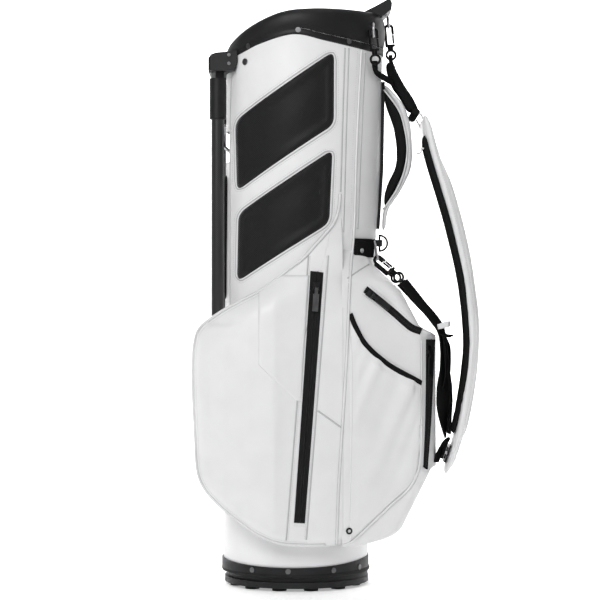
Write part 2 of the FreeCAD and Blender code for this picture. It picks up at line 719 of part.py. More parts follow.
def snap_clip(width=HOOK_W, height=HOOK_H):
    """A snap hook in its own frame: swivel barrel at the origin, hook up along Z."""
    half = width / 2
    base = 5.0
    top = base + height
    back = rod((-half, 0, base), (-half, 0, top - half), WIRE)
    foot = rod((-half, 0, base), (half, 0, base), WIRE)
    bow = Part.makeTorus(half, WIRE, V(0, 0, top - half), V(0, 1, 0))
    bow = bow.common(box(-20, 20, -5, 5, top - half, top + 10))
    nose = rod((half, 0, base + 17), (half, 0, top - half), WIRE)
    stub = rod((half, 0, base), (half, 0, base + 1.5), WIRE)
    elbows = [Part.makeSphere(WIRE, V(-half, 0, base)), Part.makeSphere(WIRE, V(half, 0, base))]
    barrel = Part.makeCylinder(4.5, 8, V(0, 0, -3))
    body = back.fuse([foot, bow, nose, stub, barrel] + elbows)
    eye = Part.makeTorus(EYE_R, 1.8, V(0, 0, -EYE_R - 2.5), V(0, 1, 0))
    gate = rod((half, 0, base + 3.0), (half, 0, base + 16.2), GATE_R)
    knuckle = Part.makeCylinder(GATE_R, 2 * GATE_R, V(half, -GATE_R, base + 3.0 + GATE_R), V(0, 1, 0))
    gate = gate.fuse(knuckle).removeSplitter()
    return body.fuse(eye).removeSplitter(), gate


def place_clip(shapes, x, y, z, lean):
    """Lean a clip in the XZ plane (0 is upright) and put its barrel at a point."""
    placed = []
    for shape in shapes:
        piece = shape.copy()
        piece.rotate(V(0, 0, 0), V(0, 1, 0), lean)
        piece.translate(V(x, y, z))
        placed.append(piece)
    return placed


TOP_CLIP = (148.0, 0.0, 827.0, -5.0)
SIDE_CLIP = (121.0, -72.0, 811.0, -4.0)
LOW_CLIP = (151.2, -STRAP_Y, 479.1, -50.0)


def top_clip():
    return place_clip(snap_clip(), *TOP_CLIP)


def side_clip():
    return place_clip(snap_clip(), *SIDE_CLIP)


def low_clip():
    return place_clip(snap_clip(), *LOW_CLIP)


def square_ring(width, height, wire):
    """A rectangular wire ring in the XZ plane, round cornered, centred on the origin."""
    w = width / 2
    h = height / 2
    corners = [(-w, 0, -h), (w, 0, -h), (w, 0, h), (-w, 0, h), (-w, 0, -h)]
    shape = chain(corners, wire)
    return shape.fuse(Part.makeSphere(wire, V(-w, 0, -h))).removeSplitter()


def moved(shape, x, y, z, lean=0.0, turn=0.0):
    shape.rotate(V(0, 0, 0), V(0, 0, 1), turn)
    shape.rotate(V(0, 0, 0), V(0, 1, 0), lean)
    shape.translate(V(x, y, z))
    return shape


def low_ring():
    return moved(square_ring(16, 28, 1.5), 124.1, -STRAP_Y, 513.5, lean=-10.8, turn=90)


def strap_rings():
    """Rings that the clips hook into: lift handle, cuff side, and both lower anchors."""
    top = Part.makeTorus(8.5, 1.8, V(144.4, 0, 868), V(math.cos(math.radians(5)), 0, math.sin(math.radians(5))))
    top = top.cut(lift_handle())
    side = Part.makeTorus(10, 1.8, V(118.5, -67, 846.5), V(1, 0, 0)).cut(body_form(-CUFF_PROUD))
    return Part.makeCompound([top.Solids[0], side.Solids[0]] + both(low_ring()).Solids)


def strap_anchors():
    """Tabs riveted to the body, each with a loop round its ring."""
    shell = body_form(-3).cut(OUTER)
    tab = shell.common(box(80, 140, -78, -32, 503, 531))
    loop = rod((121.5, -STRAP_Y - 5, 527.2), (121.5, -STRAP_Y + 5, 527.2), 3.4)
    bridge = box(100, 121.5, -STRAP_Y - 5, -STRAP_Y + 5, 524.5, 529.5)
    anchor = tab.fuse(loop.fuse(bridge).cut(OUTER)).cut(low_ring()).removeSplitter()
    return both(max(anchor.Solids, key=lambda s: s.Volume))


D_X = 131.0
D_Z = 526.0
D_R = 12.0
D_WIRE = 1.6


def towel_ring():
    """Upright bar with a bow on its outer side."""
    bar = rod((D_X, 0, D_Z - D_R), (D_X, 0, D_Z + D_R), D_WIRE)
    bow = Part.makeTorus(D_R, D_WIRE, V(D_X, 0, D_Z), V(0, 1, 0))
    bow = bow.common(box(D_X, D_X + 20, -5, 5, D_Z - 20, D_Z + 20))
    ends = [Part.makeSphere(D_WIRE, V(D_X, 0, D_Z + side * D_R)) for side in (-1, 1)]
    return bar.fuse([bow] + ends).removeSplitter()


def towel_loop():
    """Short block on the body that the towel ring's bar turns in."""
    block = box(115, D_X + 4, -7, 7, D_Z - 5, D_Z + 5).cut(OUTER)
    return block.cut(rod((D_X, 0, D_Z - 20), (D_X, 0, D_Z + 20), D_WIRE + RUNNING))


BUCKLE_LOW = (228.0, 191.0)
BUCKLE_TOP = (237.0, 217.0)
BUCKLE_HALF = 16.0


def ladder_buckle(far):
    """Flat frame with two slots that the webbing is laced through."""
    low = V(BUCKLE_LOW[0] + far * FAR_OUT, 0, BUCKLE_LOW[1])
    top = V(BUCKLE_TOP[0] + far * FAR_OUT, 0, BUCKLE_TOP[1])
    ends = [(low.x, low.z), (top.x, top.z)]
    plate = ribbon_xz(ends, 3, -STRAP_Y - BUCKLE_HALF, -STRAP_Y + BUCKLE_HALF)
    across = V(-(top - low).z, 0, (top - low).x).normalize()
    for a, b in ((0.16, 0.42), (0.58, 0.84)):
        p = low + (top - low) * a
        q = low + (top - low) * b
        slot = [(v.x + across.x * s, v.z + across.z * s) for v, s in ((p, 5), (q, 5), (q, -5), (p, -5))]
        plate = plate.cut(polygon_xz(slot, -STRAP_Y - WEB_HALF - 0.5, -STRAP_Y + WEB_HALF + 0.5))
    return plate


LOWER_WEB = [(166, 466), (190, 436), (212, 408), (222, 387), (225, 346), (225, 300), (226, 262), (230, 228)]
TAIL_WEB = [(224, 214), (221, 202), (217, 188)]


def lower_webbing(far):
    """A strap's lower webbing and the tail under its buckle."""
    tail = [(x + far * FAR_OUT, z) for x, z in TAIL_WEB]
    bands = [ribbon_xz(line, WEB_T, -STRAP_Y - WEB_HALF, -STRAP_Y + WEB_HALF) for line in (hung(LOWER_WEB, far), tail)]
    return together(*bands)


def side_webbing():
    """The band from the yoke to the side clip's eye."""
    ends = []
    for x, y, z in ((122, -66, 789), (151, -18.5, 776)):
        corners = [V(x - 1, y, z - 9), V(x + 1.4, y, z - 9), V(x + 1.4, y, z + 2), V(x - 1, y, z + 2)]
        ends.append(Part.makePolygon(corners + corners[:1]))
    return Part.makeLoft(ends, True, True).cut(strap_yoke()).Solids[0]


# ---- export -----------------------------------------------------------------
def together(*shapes):
    return Part.makeCompound([solid for shape in shapes for solid in shape.Solids])


def all_nodes():
    rings = strap_rings()
    handle = lift_handle()
    hub = leg_hub()
    tube = leg_tube()
    foot = leg_foot()
    side_slider, side_pull = side_zip_parts()
    ball_slider, ball_pull = ball_zip_parts()
    case_slider, case_pull = case_zip_parts()
    clip_a, gate_a = top_clip()
    clip_b, gate_b = side_clip()
    clip_c, gate_c = low_clip()
    pocket = side_pocket()
    tape = pocket_tape(FRONT, [ZIP_TOP, ZIP_LOW], SIDE_TAPE_W)
    near_anchor = strap_anchors()
    return {
        "top_cuff": top_cuff(),
        "divider_rails": rails(),
        "divider_panels": divider_panels(),
        "lift_handle": handle,
        "body_tube": body_tube(),
        "spine_bar": spine_bar(),
        "stay_rods": stay_rods(),
        "boot": boot(),
        "rivets": together(boot_rivets(), cuff_rivets()),
        "screws": together(panel_screws(), bracket_screws()),
        "leg_bracket": leg_bracket(),
        "leg_pivot_pins": pivot_pins(),
        "rod_guides": rod_guides(),
        "hinge_pins": hinge_pins(),
        "hip_pad": hip_pad(),
        "mesh_pads": both(mesh_pads()),
        "near_side_pocket": pocket,
        "far_side_pocket": mirror_y(pocket),
        "side_zip_tapes": both(tape),
        "ball_pocket": ball_pocket(),
        "ball_zip_tapes": ball_panel_tapes(),
        "valuables_zip_tape": case_tape(),
        "slip_bindings": slip_binding(),
        "grommets": grommets(),
        "handle_shell": handle_shell(),
        "handle_lining": handle_lining(),
        "strap_yoke": strap_yoke(),
        "strap_webbing": together(lower_webbing(0), mirror_y(lower_webbing(1)), side_webbing()),
        "pad_shells": together(shoulder_pad(0), mirror_y(shoulder_pad(1))),
        "pad_linings": together(pad_lining(0), mirror_y(pad_lining(1))),
        "ladder_buckles": together(ladder_buckle(0), mirror_y(ladder_buckle(1))),
        "top_clip": clip_a,
        "side_clip": clip_b,
        "lower_clips": both(clip_c),
        "strap_rings": rings,
        "strap_anchors": near_anchor,
        "towel_loop": towel_loop(),
        "foot_plate": foot_plate(),
        "tread_pads": tread_pads(),
        "actuator_rod": actuator(),
        "near_leg_hub": hub,
        "near_leg_tube": tube,
        "near_leg_foot": foot,
        "far_leg_hub": mirror_y(hub),
        "far_leg_tube": mirror_y(tube),
        "far_leg_foot": mirror_y(foot),
        "near_zip_slider": side_slider,
        "near_zip_pull": side_pull,
        "far_zip_slider": mirror_y(side_slider),
        "far_zip_pull": mirror_y(side_pull),
        "ball_zip_slider": ball_slider,
        "ball_zip_pull": ball_pull,
        "valuables_zip_slider": case_slider,
        "valuables_zip_pull": case_pull,
        "top_clip_gate": gate_a,
        "side_clip_gate": gate_b,
        "near_lower_gate": gate_c,
        "far_lower_gate": mirror_y(gate_c),
        "towel_ring": towel_ring(),
    }


def main():
    os.makedirs("parts", exist_ok=True)
    for name, shape in all_nodes().items():
        shape.exportStep("parts/" + name + ".step")


main()
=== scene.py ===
"""Looks of a golf stand bag: cloth, leather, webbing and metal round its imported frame."""
import math

import bmesh
import bpy
from mathutils import Matrix, Vector
from mathutils.bvhtree import BVHTree


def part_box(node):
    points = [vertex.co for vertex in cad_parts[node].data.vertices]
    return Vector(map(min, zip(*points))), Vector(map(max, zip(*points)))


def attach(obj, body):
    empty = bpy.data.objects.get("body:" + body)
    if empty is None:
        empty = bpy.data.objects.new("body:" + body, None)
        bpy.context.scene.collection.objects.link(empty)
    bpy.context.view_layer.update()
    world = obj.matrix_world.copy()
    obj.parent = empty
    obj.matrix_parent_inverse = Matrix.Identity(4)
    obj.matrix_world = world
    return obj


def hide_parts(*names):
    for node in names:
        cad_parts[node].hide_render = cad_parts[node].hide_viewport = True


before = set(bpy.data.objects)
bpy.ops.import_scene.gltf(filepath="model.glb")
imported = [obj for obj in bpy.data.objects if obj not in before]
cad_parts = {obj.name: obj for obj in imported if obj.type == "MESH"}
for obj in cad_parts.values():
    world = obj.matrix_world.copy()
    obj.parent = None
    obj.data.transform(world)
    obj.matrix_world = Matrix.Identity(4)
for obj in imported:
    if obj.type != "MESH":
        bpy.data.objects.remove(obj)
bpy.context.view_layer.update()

MM = 0.001
BAG = "bag"
WHITE = "white_leather"


# ---- places taken from the frame, in millimetres ------------------------------
def box_mm(node):
    """A node's box at rest, in millimetres."""
    low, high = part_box(node)
    return Vector(low) / MM, Vector(high) / MM


HIP_LOW, HIP_HIGH = box_mm("hip_pad")

# The body's oval at a few heights: Z, leg side X, spine side X, half depth in Y.
BODY = [(20, -110, 112, 101), (300, -109, 117, 103), (500, -108, 123, 105), (640, -107, 132, 107),
        (930, -105, 137, 109)]
# Lines on the body seen along Y: X, Z.
SEAM = [(-135, 802), (-89, 810), (-52, 824), (-1, 836), (47, 827), (97, 819), (150, 814)]
RIM = [(-135, 806), (-106, 816), (-95, 834), (-68, 853), (-23, 870), (26, 875), (105, 876), (150, 879)]


# ---- curves and surfaces --------------------------------------------------------
def smooth(points, per=8, closed=False):
    """A Catmull-Rom line through points, with a few steps per span."""
    pts = [Vector(p) for p in points]
    n = len(pts)
    spans = n if closed else n - 1
    out = []
    for i in range(spans):
        if closed:
            a, b, c, d = (pts[(i + k) % n] for k in (-1, 0, 1, 2))
        else:
            a, b, c, d = pts[max(i - 1, 0)], pts[i], pts[i + 1], pts[min(i + 2, n - 1)]
        for s in range(per):
            t = s / per
            out.append(0.5 * (2 * b + (c - a) * t + (2 * a - 5 * b + 4 * c - d) * t * t
                              + (3 * b - a - 3 * c + d) * t ** 3))
    if not closed:
        out.append(pts[-1].copy())
    return out


def even(points, step, closed=False):
    """The same line with points at even distances near step."""
    pts = [Vector(p) for p in points]
    if closed:
        pts = pts + [pts[0].copy()]
    lengths = [0.0]
    for a, b in zip(pts, pts[1:]):
        lengths.append(lengths[-1] + (b - a).length)
    count = max(2, int(round(lengths[-1] / step)))
    out = []
    j = 0
    for i in range(count if closed else count + 1):
        target = lengths[-1] * i / count
        while j < len(lengths) - 2 and lengths[j + 1] < target:
            j += 1
        span = max(lengths[j + 1] - lengths[j], 1e-9)
        out.append(pts[j].lerp(pts[j + 1], (target - lengths[j]) / span))
    return out


def rounded(points, radius, per=5):
    """A closed flat outline with each corner rounded."""
    pts = [Vector(p) for p in points]
    out = []
    for i, corner in enumerate(pts):
        before = pts[i - 1] - corner
        after = pts[(i + 1) % len(pts)] - corner
        cut = min(radius, before.length * 0.45, after.length * 0.45)
        a = corner + before.normalized() * cut
        b = corner + after.normalized() * cut
        for s in range(per + 1):
            t = s / per
            out.append(a * (1 - t) ** 2 + corner * 2 * t * (1 - t) + b * t ** 2)
    return out


def at(line, x):
    """Height of a smooth line of X, Z points at X."""
    samples = SAMPLED.setdefault(id(line), smooth(line, 12))
    for a, b in zip(samples, samples[1:]):
        if x <= b[0]:
            return a[1] + (b[1] - a[1]) * (x - a[0]) / max(b[0] - a[0], 1e-6)
    return samples[-1][1]


SAMPLED = {}


def ease(value, low, high):
    t = max(0.0, min(1.0, (value - low) / (high - low)))
    return t * t * (3 - 2 * t)


def section(z):
    """Centre X, half width and half depth of the body at a height."""
    for low, high in zip(BODY, BODY[1:]):
        if z <= high[0]:
            break
    t = (z - low[0]) / (high[0] - low[0])
    left, right, depth = (a + (b - a) * t for a, b in zip(low[1:], high[1:]))
    return (left + right) / 2, (right - left) / 2, depth


def on_body(angle, z, proud=0.0):
    """Point on the body; angle 0 faces the spine, -90 degrees faces the near side."""
    centre, half, depth = section(z)
    return Vector((centre + (half + proud) * math.cos(angle), (depth + proud) * math.sin(angle), z))


def body_y(x, z, proud=0.0):
    """Y of the near side of the body at X and Z."""
    centre, half, depth = section(z)
    t = max(-1.0, min(1.0, (x - centre) / (half + proud)))
    return -(depth + proud) * math.sqrt(1 - t * t)


def near_point(x, z, proud=0.0):
    return Vector((x, body_y(x, z, proud), z))


# ---- mesh building --------------------------------------------------------------
def make(name, verts, faces, material, body=BAG, flat=False):
    """One mesh object from points in millimetres, riding on a body."""
    mesh = bpy.data.meshes.new(name)
    mesh.from_pydata([Vector(v) * MM for v in verts], [], faces)
    mesh.validate()
    work = bmesh.new()
    work.from_mesh(mesh)
    bmesh.ops.remove_doubles(work, verts=work.verts, dist=1e-6)
    bmesh.ops.recalc_face_normals(work, faces=work.faces)
    work.to_mesh(mesh)
    work.free()
    for poly in mesh.polygons:
        poly.use_smooth = not flat
    piece = bpy.data.objects.new(name, mesh)
    bpy.context.scene.collection.objects.link(piece)
    mesh.materials.append(material)
    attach(piece, body)
    return piece


def grid(rows, close_rows=False, close_cols=False, skip=None):
    """Points and quads of a rectangular array of points."""
    height = len(rows)
    width = len(rows[0])
    verts = [p for row in rows for p in row]
    faces = []
    for i in range(height if close_rows else height - 1):
        for j in range(width if close_cols else width - 1):
            a = i * width + j
            b = i * width + (j + 1) % width
            c = ((i + 1) % height) * width + (j + 1) % width
            d = ((i + 1) % height) * width + j
            if skip and skip((verts[a] + verts[c]) / 2):
                continue
            faces.append((a, b, c, d))
    return verts, faces


def frames(path, closed=False, up=None):
    """Tangent, side and up vectors along a path, turning as little as they can."""
    n = len(path)
    out = []
    side = None
    for i in range(n):
        if closed:
            along = (path[(i + 1) % n] - path[i - 1]).normalized()
        else:
            along = (path[min(i + 1, n - 1)] - path[max(i - 1, 0)]).normalized()
        if up is not None:
            wanted = up[i] if isinstance(up, list) else Vector(up)
            side = along.cross(wanted).normalized()
        elif side is None:
            seed = Vector((0, 0, 1)) if abs(along.z) < 0.9 else Vector((0, 1, 0))
            side = along.cross(seed).normalized()
        else:
            side = (side - along * side.dot(along)).normalized()
        out.append((along, side, side.cross(along)))
    return out


def sweep(path, outline, closed=False, up=None, scale=None):
    """Points and faces of a closed outline (side, up) carried along a path."""
    path = [Vector(p) for p in path]
    rows = []
    for i, (along, side, upward) in enumerate(frames(path, closed, up)):
        k = scale[i] if scale else 1.0
        rows.append([path[i] + side * (u * k) + upward * (v * k) for u, v in outline])
    verts, faces = grid(rows, close_rows=closed, close_cols=True)
    if not closed:
        width = len(outline)
        faces.append(tuple(range(width))[::-1])
        faces.append(tuple(range(len(verts) - width, len(verts))))
    return verts, faces


def circle(radius, steps=10):
    return [(radius * math.cos(2 * math.pi * k / steps), radius * math.sin(2 * math.pi * k / steps))
            for k in range(steps)]


def flat_oval(width, thickness, steps=4):
    """Section of webbing: flat, with rounded edges."""
    half = width / 2 - thickness / 2
    out = []
    for side in (1, -1):
        for k in range(steps + 1):
            angle = math.pi * (k / steps - 0.5)
            across = half + thickness / 2 * math.cos(angle)
            out.append((side * across, side * thickness / 2 * math.sin(angle)))
    return out


def tube(name, path, radius, material, body=BAG, closed=False, steps=10):
    verts, faces = sweep(path, circle(radius, steps), closed)
    return make(name, verts, faces, material, body)


def webbing(name, path, width, thickness, up, material, body=BAG):
    verts, faces = sweep(path, flat_oval(width, thickness), False, up)
    return make(name, verts, faces, material, body)


def stitches(name, path, outward, pitch, length, radius, material, body=BAG):
    """A row of small thread stitches lying along a path."""
    path = even(path, pitch)
    verts = []
    faces = []
    sides = 6
    for a, b in zip(path, path[1:]):
        along = (b - a).normalized()
        normal = outward(a) if callable(outward) else Vector(outward)
        across = along.cross(normal).normalized()
        middle = (a + b) / 2
        base = len(verts)
        for t, k in ((-0.5, 0.35), (-0.25, 1.0), (0.25, 1.0), (0.5, 0.35)):
            for s in range(sides):
                turn = 2 * math.pi * s / sides
                offset = across * math.cos(turn) + normal * math.sin(turn)
                verts.append(middle + along * (length * t) + offset * (radius * k))
        for ring in range(3):
            for s in range(sides):
                p = base + ring * sides + s
                q = base + ring * sides + (s + 1) % sides
                faces.append((p, q, q + sides, p + sides))
        faces.append(tuple(base + s for s in range(sides))[::-1])
        faces.append(tuple(base + 3 * sides + s for s in range(sides)))
    return make(name, verts, faces, material, body)


def bevel(piece, width, segments=3, angle=40):
    mod = piece.modifiers.new("soft_edges", "BEVEL")
    mod.width = width * MM
    mod.segments = segments
    mod.limit_method = "ANGLE"
    mod.angle_limit = math.radians(angle)
    return piece


def mirrored(piece, name, body=BAG):
    """A copy of a piece on the far side."""
    mesh = piece.data.copy()
    mesh.transform(Matrix.Scale(-1, 4, (0, 1, 0)))
    mesh.flip_normals()
    twin = bpy.data.objects.new(name, mesh)
    for mod in piece.modifiers:
        copy = twin.modifiers.new(mod.name, mod.type)
        for key in ("width", "segments", "limit_method", "angle_limit", "levels", "render_levels"):
            if hasattr(mod, key):
                setattr(copy, key, getattr(mod, key))
    bpy.context.scene.collection.objects.link(twin)
    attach(twin, body)
    return twin


def ruffle(point, size):
    """A smooth, repeatable unevenness of cloth at a point, about -1 to 1."""
    p = point / size
    broad = math.sin(p.x * 1.7 + 1.3 * math.sin(p.z * 0.9 + 0.5))
    broad *= math.sin(p.z * 1.1 + 0.7 * math.sin(p.y))
    fine = math.sin(p.x * 3.1 + p.z * 2.3 + 1.1) * math.cos(p.y * 2.7 - p.z * 1.9)
    return (broad + 0.5 * fine) / 1.5


def puff(piece, pressure, cap, voxel=5.0, steps=20, stiffness=12.0):
    """Fill a closed mesh with air by cloth simulation, and keep each point near its place."""
    scene = bpy.context.scene
    remesh = piece.modifiers.new("even", "REMESH")
    remesh.mode = "VOXEL"
    remesh.voxel_size = voxel * MM
    remesh.use_smooth_shade = True
    bake(piece)
    start = [v.co.copy() for v in piece.data.vertices]
    cloth = piece.modifiers.new("fill", "CLOTH")
    cloth.settings.use_pressure = True
    cloth.settings.uniform_pressure_force = pressure
    cloth.settings.effector_weights.gravity = 0
    cloth.settings.tension_stiffness = stiffness
    cloth.settings.compression_stiffness = stiffness
    cloth.settings.quality = 5
    cloth.point_cache.frame_start = 1
    cloth.point_cache.frame_end = steps
    for number in range(1, steps + 1):
        scene.frame_set(number)
    bake(piece)
    scene.frame_set(1)
    for vert, before in zip(piece.data.vertices, start):
        step = vert.co - before
        if step.length > cap * MM:
            vert.co = before + step.normalized() * cap * MM
    finer = piece.modifiers.new("finer", "SUBSURF")
    finer.levels = 1
    finer.render_levels = 1
    bake(piece)
    for poly in piece.data.polygons:
        poly.use_smooth = True
    return piece


def bake(piece):
    """Apply every modifier of a piece to its mesh."""
    graph = bpy.context.evaluated_depsgraph_get()
    graph.update()
    mesh = bpy.data.meshes.new_from_object(piece.evaluated_get(graph))
    old = piece.data
    piece.modifiers.clear()
    piece.data = mesh
    if not mesh.materials:
        for material in old.materials:
            mesh.materials.append(material)


# ---- materials --------------------------------------------------------------------
class Shader:
    """A small helper that wires one procedural material."""

    def __init__(self, name, colour, roughness, metallic=0.0, sheen=0.0, coat=0.0, specular=0.5):
        self.material = bpy.data.materials.new(name)
        self.material.use_nodes = True
        self.tree = self.material.node_tree
        self.bsdf = self.tree.nodes["Principled BSDF"]
        self.bsdf.inputs["Base Color"].default_value = (*colour, 1)
        self.bsdf.inputs["Roughness"].default_value = roughness
        self.bsdf.inputs["Metallic"].default_value = metallic
        self.bsdf.inputs["Sheen Weight"].default_value = sheen
        self.bsdf.inputs["Coat Weight"].default_value = coat
        self.bsdf.inputs["Specular IOR Level"].default_value = specular
        self.colour = colour
        self.coords = self.node("ShaderNodeTexCoord").outputs["Object"]
        self.height = None

    def node(self, kind, **values):
        node = self.tree.nodes.new(kind)
        for key, value in values.items():
            setattr(node, key, value)
        return node

    def link(self, a, b):
        self.tree.links.new(a, b)

    def fade(self, value, start, end, first, last):
        """A smooth change from first to last while value goes from start to end."""
        node = self.node("ShaderNodeMapRange", interpolation_type="SMOOTHSTEP")
        self.link(value, node.inputs["Value"])
        for key, number in (("From Min", start), ("From Max", end), ("To Min", first), ("To Max", last)):
            node.inputs[key].default_value = number
        return node.outputs[0]

    def glow(self, strength):
        """Light the surface from within behind the bag, up to a little over its height."""
        split = self.node("ShaderNodeSeparateXYZ")
        self.link(self.coords, split.inputs[0])
        behind = self.fade(split.outputs["Y"], *GLOW_START_Y, 0.0, strength)
        below = self.fade(split.outputs["Z"], *GLOW_END_Z, 1.0, 0.0)
        self.bsdf.inputs["Emission Color"].default_value = (1, 1, 1, 1)
        self.link(self.math("MULTIPLY", behind, below), self.bsdf.inputs["Emission Strength"])

    def one_sided(self):
        """Leave the back of the surface open, so that a view from behind isn't blocked."""
        back = self.node("ShaderNodeNewGeometry").outputs["Backfacing"]
        clear = self.node("ShaderNodeBsdfTransparent")
        both = self.node("ShaderNodeMixShader")
        self.link(back, both.inputs[0])
        self.link(self.bsdf.outputs[0], both.inputs[1])
        self.link(clear.outputs[0], both.inputs[2])
        self.link(both.outputs[0], self.tree.nodes["Material Output"].inputs["Surface"])

    def noise(self, size_mm, detail=3.0, stretch=(1, 1, 1)):
        mapping = self.node("ShaderNodeMapping")
        mapping.inputs["Scale"].default_value = stretch
        self.link(self.coords, mapping.inputs["Vector"])
        noise = self.node("ShaderNodeTexNoise")
        noise.inputs["Scale"].default_value = 1000.0 / size_mm
        noise.inputs["Detail"].default_value = detail
        self.link(mapping.outputs["Vector"], noise.inputs["Vector"])
        return noise.outputs["Fac"]

    def voronoi(self, size_mm, feature="F1", randomness=1.0, turn=(0, 0, 0)):
        mapping = self.node("ShaderNodeMapping")
        mapping.inputs["Rotation"].default_value = turn
        self.link(self.coords, mapping.inputs["Vector"])
        cells = self.node("ShaderNodeTexVoronoi", feature=feature)
        cells.inputs["Scale"].default_value = 1000.0 / size_mm
        cells.inputs["Randomness"].default_value = randomness
        self.link(mapping.outputs["Vector"], cells.inputs["Vector"])
        return cells.outputs["Distance"]

    def dots(self, pitch_mm):
        """Distance from the nearest hole of a diamond pattern seen along Y."""
        split = self.node("ShaderNodeSeparateXYZ")
        self.link(self.coords, split.inputs["Vector"])
        join = self.node("ShaderNodeCombineXYZ")
        self.link(split.outputs["X"], join.inputs["X"])
        self.link(split.outputs["Z"], join.inputs["Y"])
        mapping = self.node("ShaderNodeMapping")
        mapping.inputs["Rotation"].default_value = (0, 0, math.radians(45))
        self.link(join.outputs["Vector"], mapping.inputs["Vector"])
        cells = self.node("ShaderNodeTexVoronoi", voronoi_dimensions="2D")
        cells.inputs["Scale"].default_value = 1000.0 / pitch_mm
        cells.inputs["Randomness"].default_value = 0.0
        self.link(mapping.outputs["Vector"], cells.inputs["Vector"])
        return cells.outputs["Distance"]

    def wave(self, size_mm, direction, turn=(0, 0, 0)):
        mapping = self.node("ShaderNodeMapping")
        mapping.inputs["Rotation"].default_value = turn
        self.link(self.coords, mapping.inputs["Vector"])
        wave = self.node("ShaderNodeTexWave", bands_direction=direction)
        wave.inputs["Scale"].default_value = 500.0 / size_mm
        self.link(mapping.outputs["Vector"], wave.inputs["Vector"])
        return wave.outputs["Fac"]

    def math(self, operation, a, b=0.5):
        node = self.node("ShaderNodeMath", operation=operation)
        for socket, value in zip(node.inputs, (a, b)):
            if isinstance(value, (int, float)):
                socket.default_value = value
            else:
                self.link(value, socket)
        return node.outputs[0]

    def ramp(self, value, stops):
        node = self.node("ShaderNodeValToRGB")
        while len(node.color_ramp.elements) < len(stops):
            node.color_ramp.elements.new(0.5)
        for element, (place, colour) in zip(node.color_ramp.elements, stops):
            element.position = place
            element.color = (*colour, 1) if len(colour) == 3 else colour
        self.link(value, node.inputs["Fac"])
        return node.outputs["Color"]

    def shade(self, value, dark, light=1.0, low=0.35, high=0.65):
        """Vary the base colour between a darker and a lighter tone."""
        stops = [(low, [c * dark for c in self.colour]), (high, [min(1.0, c * light) for c in self.colour])]
        self.link(self.ramp(value, stops), self.bsdf.inputs["Base Color"])

    def rough(self, value, low, high):
        node = self.node("ShaderNodeMapRange")
        node.inputs["To Min"].default_value = low
        node.inputs["To Max"].default_value = high
        self.link(value, node.inputs["Value"])
        self.link(node.outputs["Result"], self.bsdf.inputs["Roughness"])

    def bump(self, value, depth_mm, strength=1.0):
        node = self.node("ShaderNodeBump")
        node.inputs["Strength"].default_value = strength
        node.inputs["Distance"].default_value = depth_mm * MM
        self.link(value, node.inputs["Height"])
        if self.height:
            self.link(self.height, node.inputs["Normal"])
        self.height = node.outputs["Normal"]
        self.link(self.height, self.bsdf.inputs["Normal"])


def leather(name, colour, roughness, grain=1.1, depth=0.06, dark=0.94):
    m = Shader(name, colour, roughness, specular=0.45 if colour[0] > 0.1 else 0.28)
    m.shade(m.noise(45, 2), dark, 1.02)
    m.rough(m.noise(9, 4), roughness - 0.06, roughness + 0.08)
    m.bump(m.voronoi(grain, "DISTANCE_TO_EDGE"), depth, 0.6)
    m.bump(m.noise(14, 4), 0.25, 0.25)
    return m.material


def moulded(name, colour, roughness, depth=0.05):
    m = Shader(name, colour, roughness, specular=0.4 if colour[0] > 0.1 else 0.28)
    m.shade(m.noise(30, 3), 0.75, 1.25)
    m.rough(m.noise(6, 4), roughness - 0.08, roughness + 0.1)
    m.bump(m.noise(0.8, 2), depth, 0.5)
    return m.material


def woven(name, colour, roughness=0.8, thread=1.0, depth=0.15):
    m = Shader(name, colour, roughness, specular=0.0)
    rows = m.wave(thread, "DIAGONAL")
    cols = m.wave(thread, "DIAGONAL", (0, math.pi / 2, 0))
    weave = m.math("MULTIPLY", rows, cols)
    m.shade(weave, 0.6, 1.5, 0.1, 0.9)
    m.bump(weave, depth, 0.8)
    return m.material


def perforated(name, colour, pitch=2.3):
    """Padded spacer mesh: a cloth with a close pattern of small holes."""
    m = Shader(name, colour, 0.5, sheen=0.02, specular=0.22)
    holes = m.dots(pitch)
    dots = m.ramp(holes, [(0.22, (0, 0, 0)), (0.36, (1, 1, 1))])
    m.shade(dots, 0.25, 1.25, 0.1, 0.9)
    m.bump(dots, 0.35, 0.8)
    m.bump(m.noise(0.7, 2), 0.05, 0.4)
    return m.material


def carbon(name):
    """Woven carbon tube under a clear coat, its bands on a slant."""
    m = Shader(name, (0.012, 0.012, 0.013), 0.32, coat=0.5)
    bands = m.wave(3.6, "Z", (0, math.radians(40), 0))
    fine = m.wave(3.6, "Z", (0, math.radians(-40), 0))
    mix = m.math("MULTIPLY", bands, m.math("ADD", fine, 0.4))
    m.shade(mix, 0.5, 2.2, 0.25, 0.8)
    m.bump(mix, 0.08, 0.4)
    return m.material


def metal(name, colour, roughness, grain=0.5):
    m = Shader(name, colour, roughness, metallic=1.0)
    m.shade(m.noise(12, 4), 0.8, 1.1)
    m.rough(m.noise(4, 5), roughness - 0.08, roughness + 0.14)
    m.bump(m.noise(grain, 3), 0.02, 0.4)
    return m.material


def thread(name, colour):
    m = Shader(name, colour, 0.7, sheen=0.2 if colour[0] > 0.1 else 0.0, specular=0.2)
    m.shade(m.noise(0.8, 2), 0.8, 1.1)
    m.bump(m.wave(0.5, "DIAGONAL"), 0.05, 0.6)
    return m.material


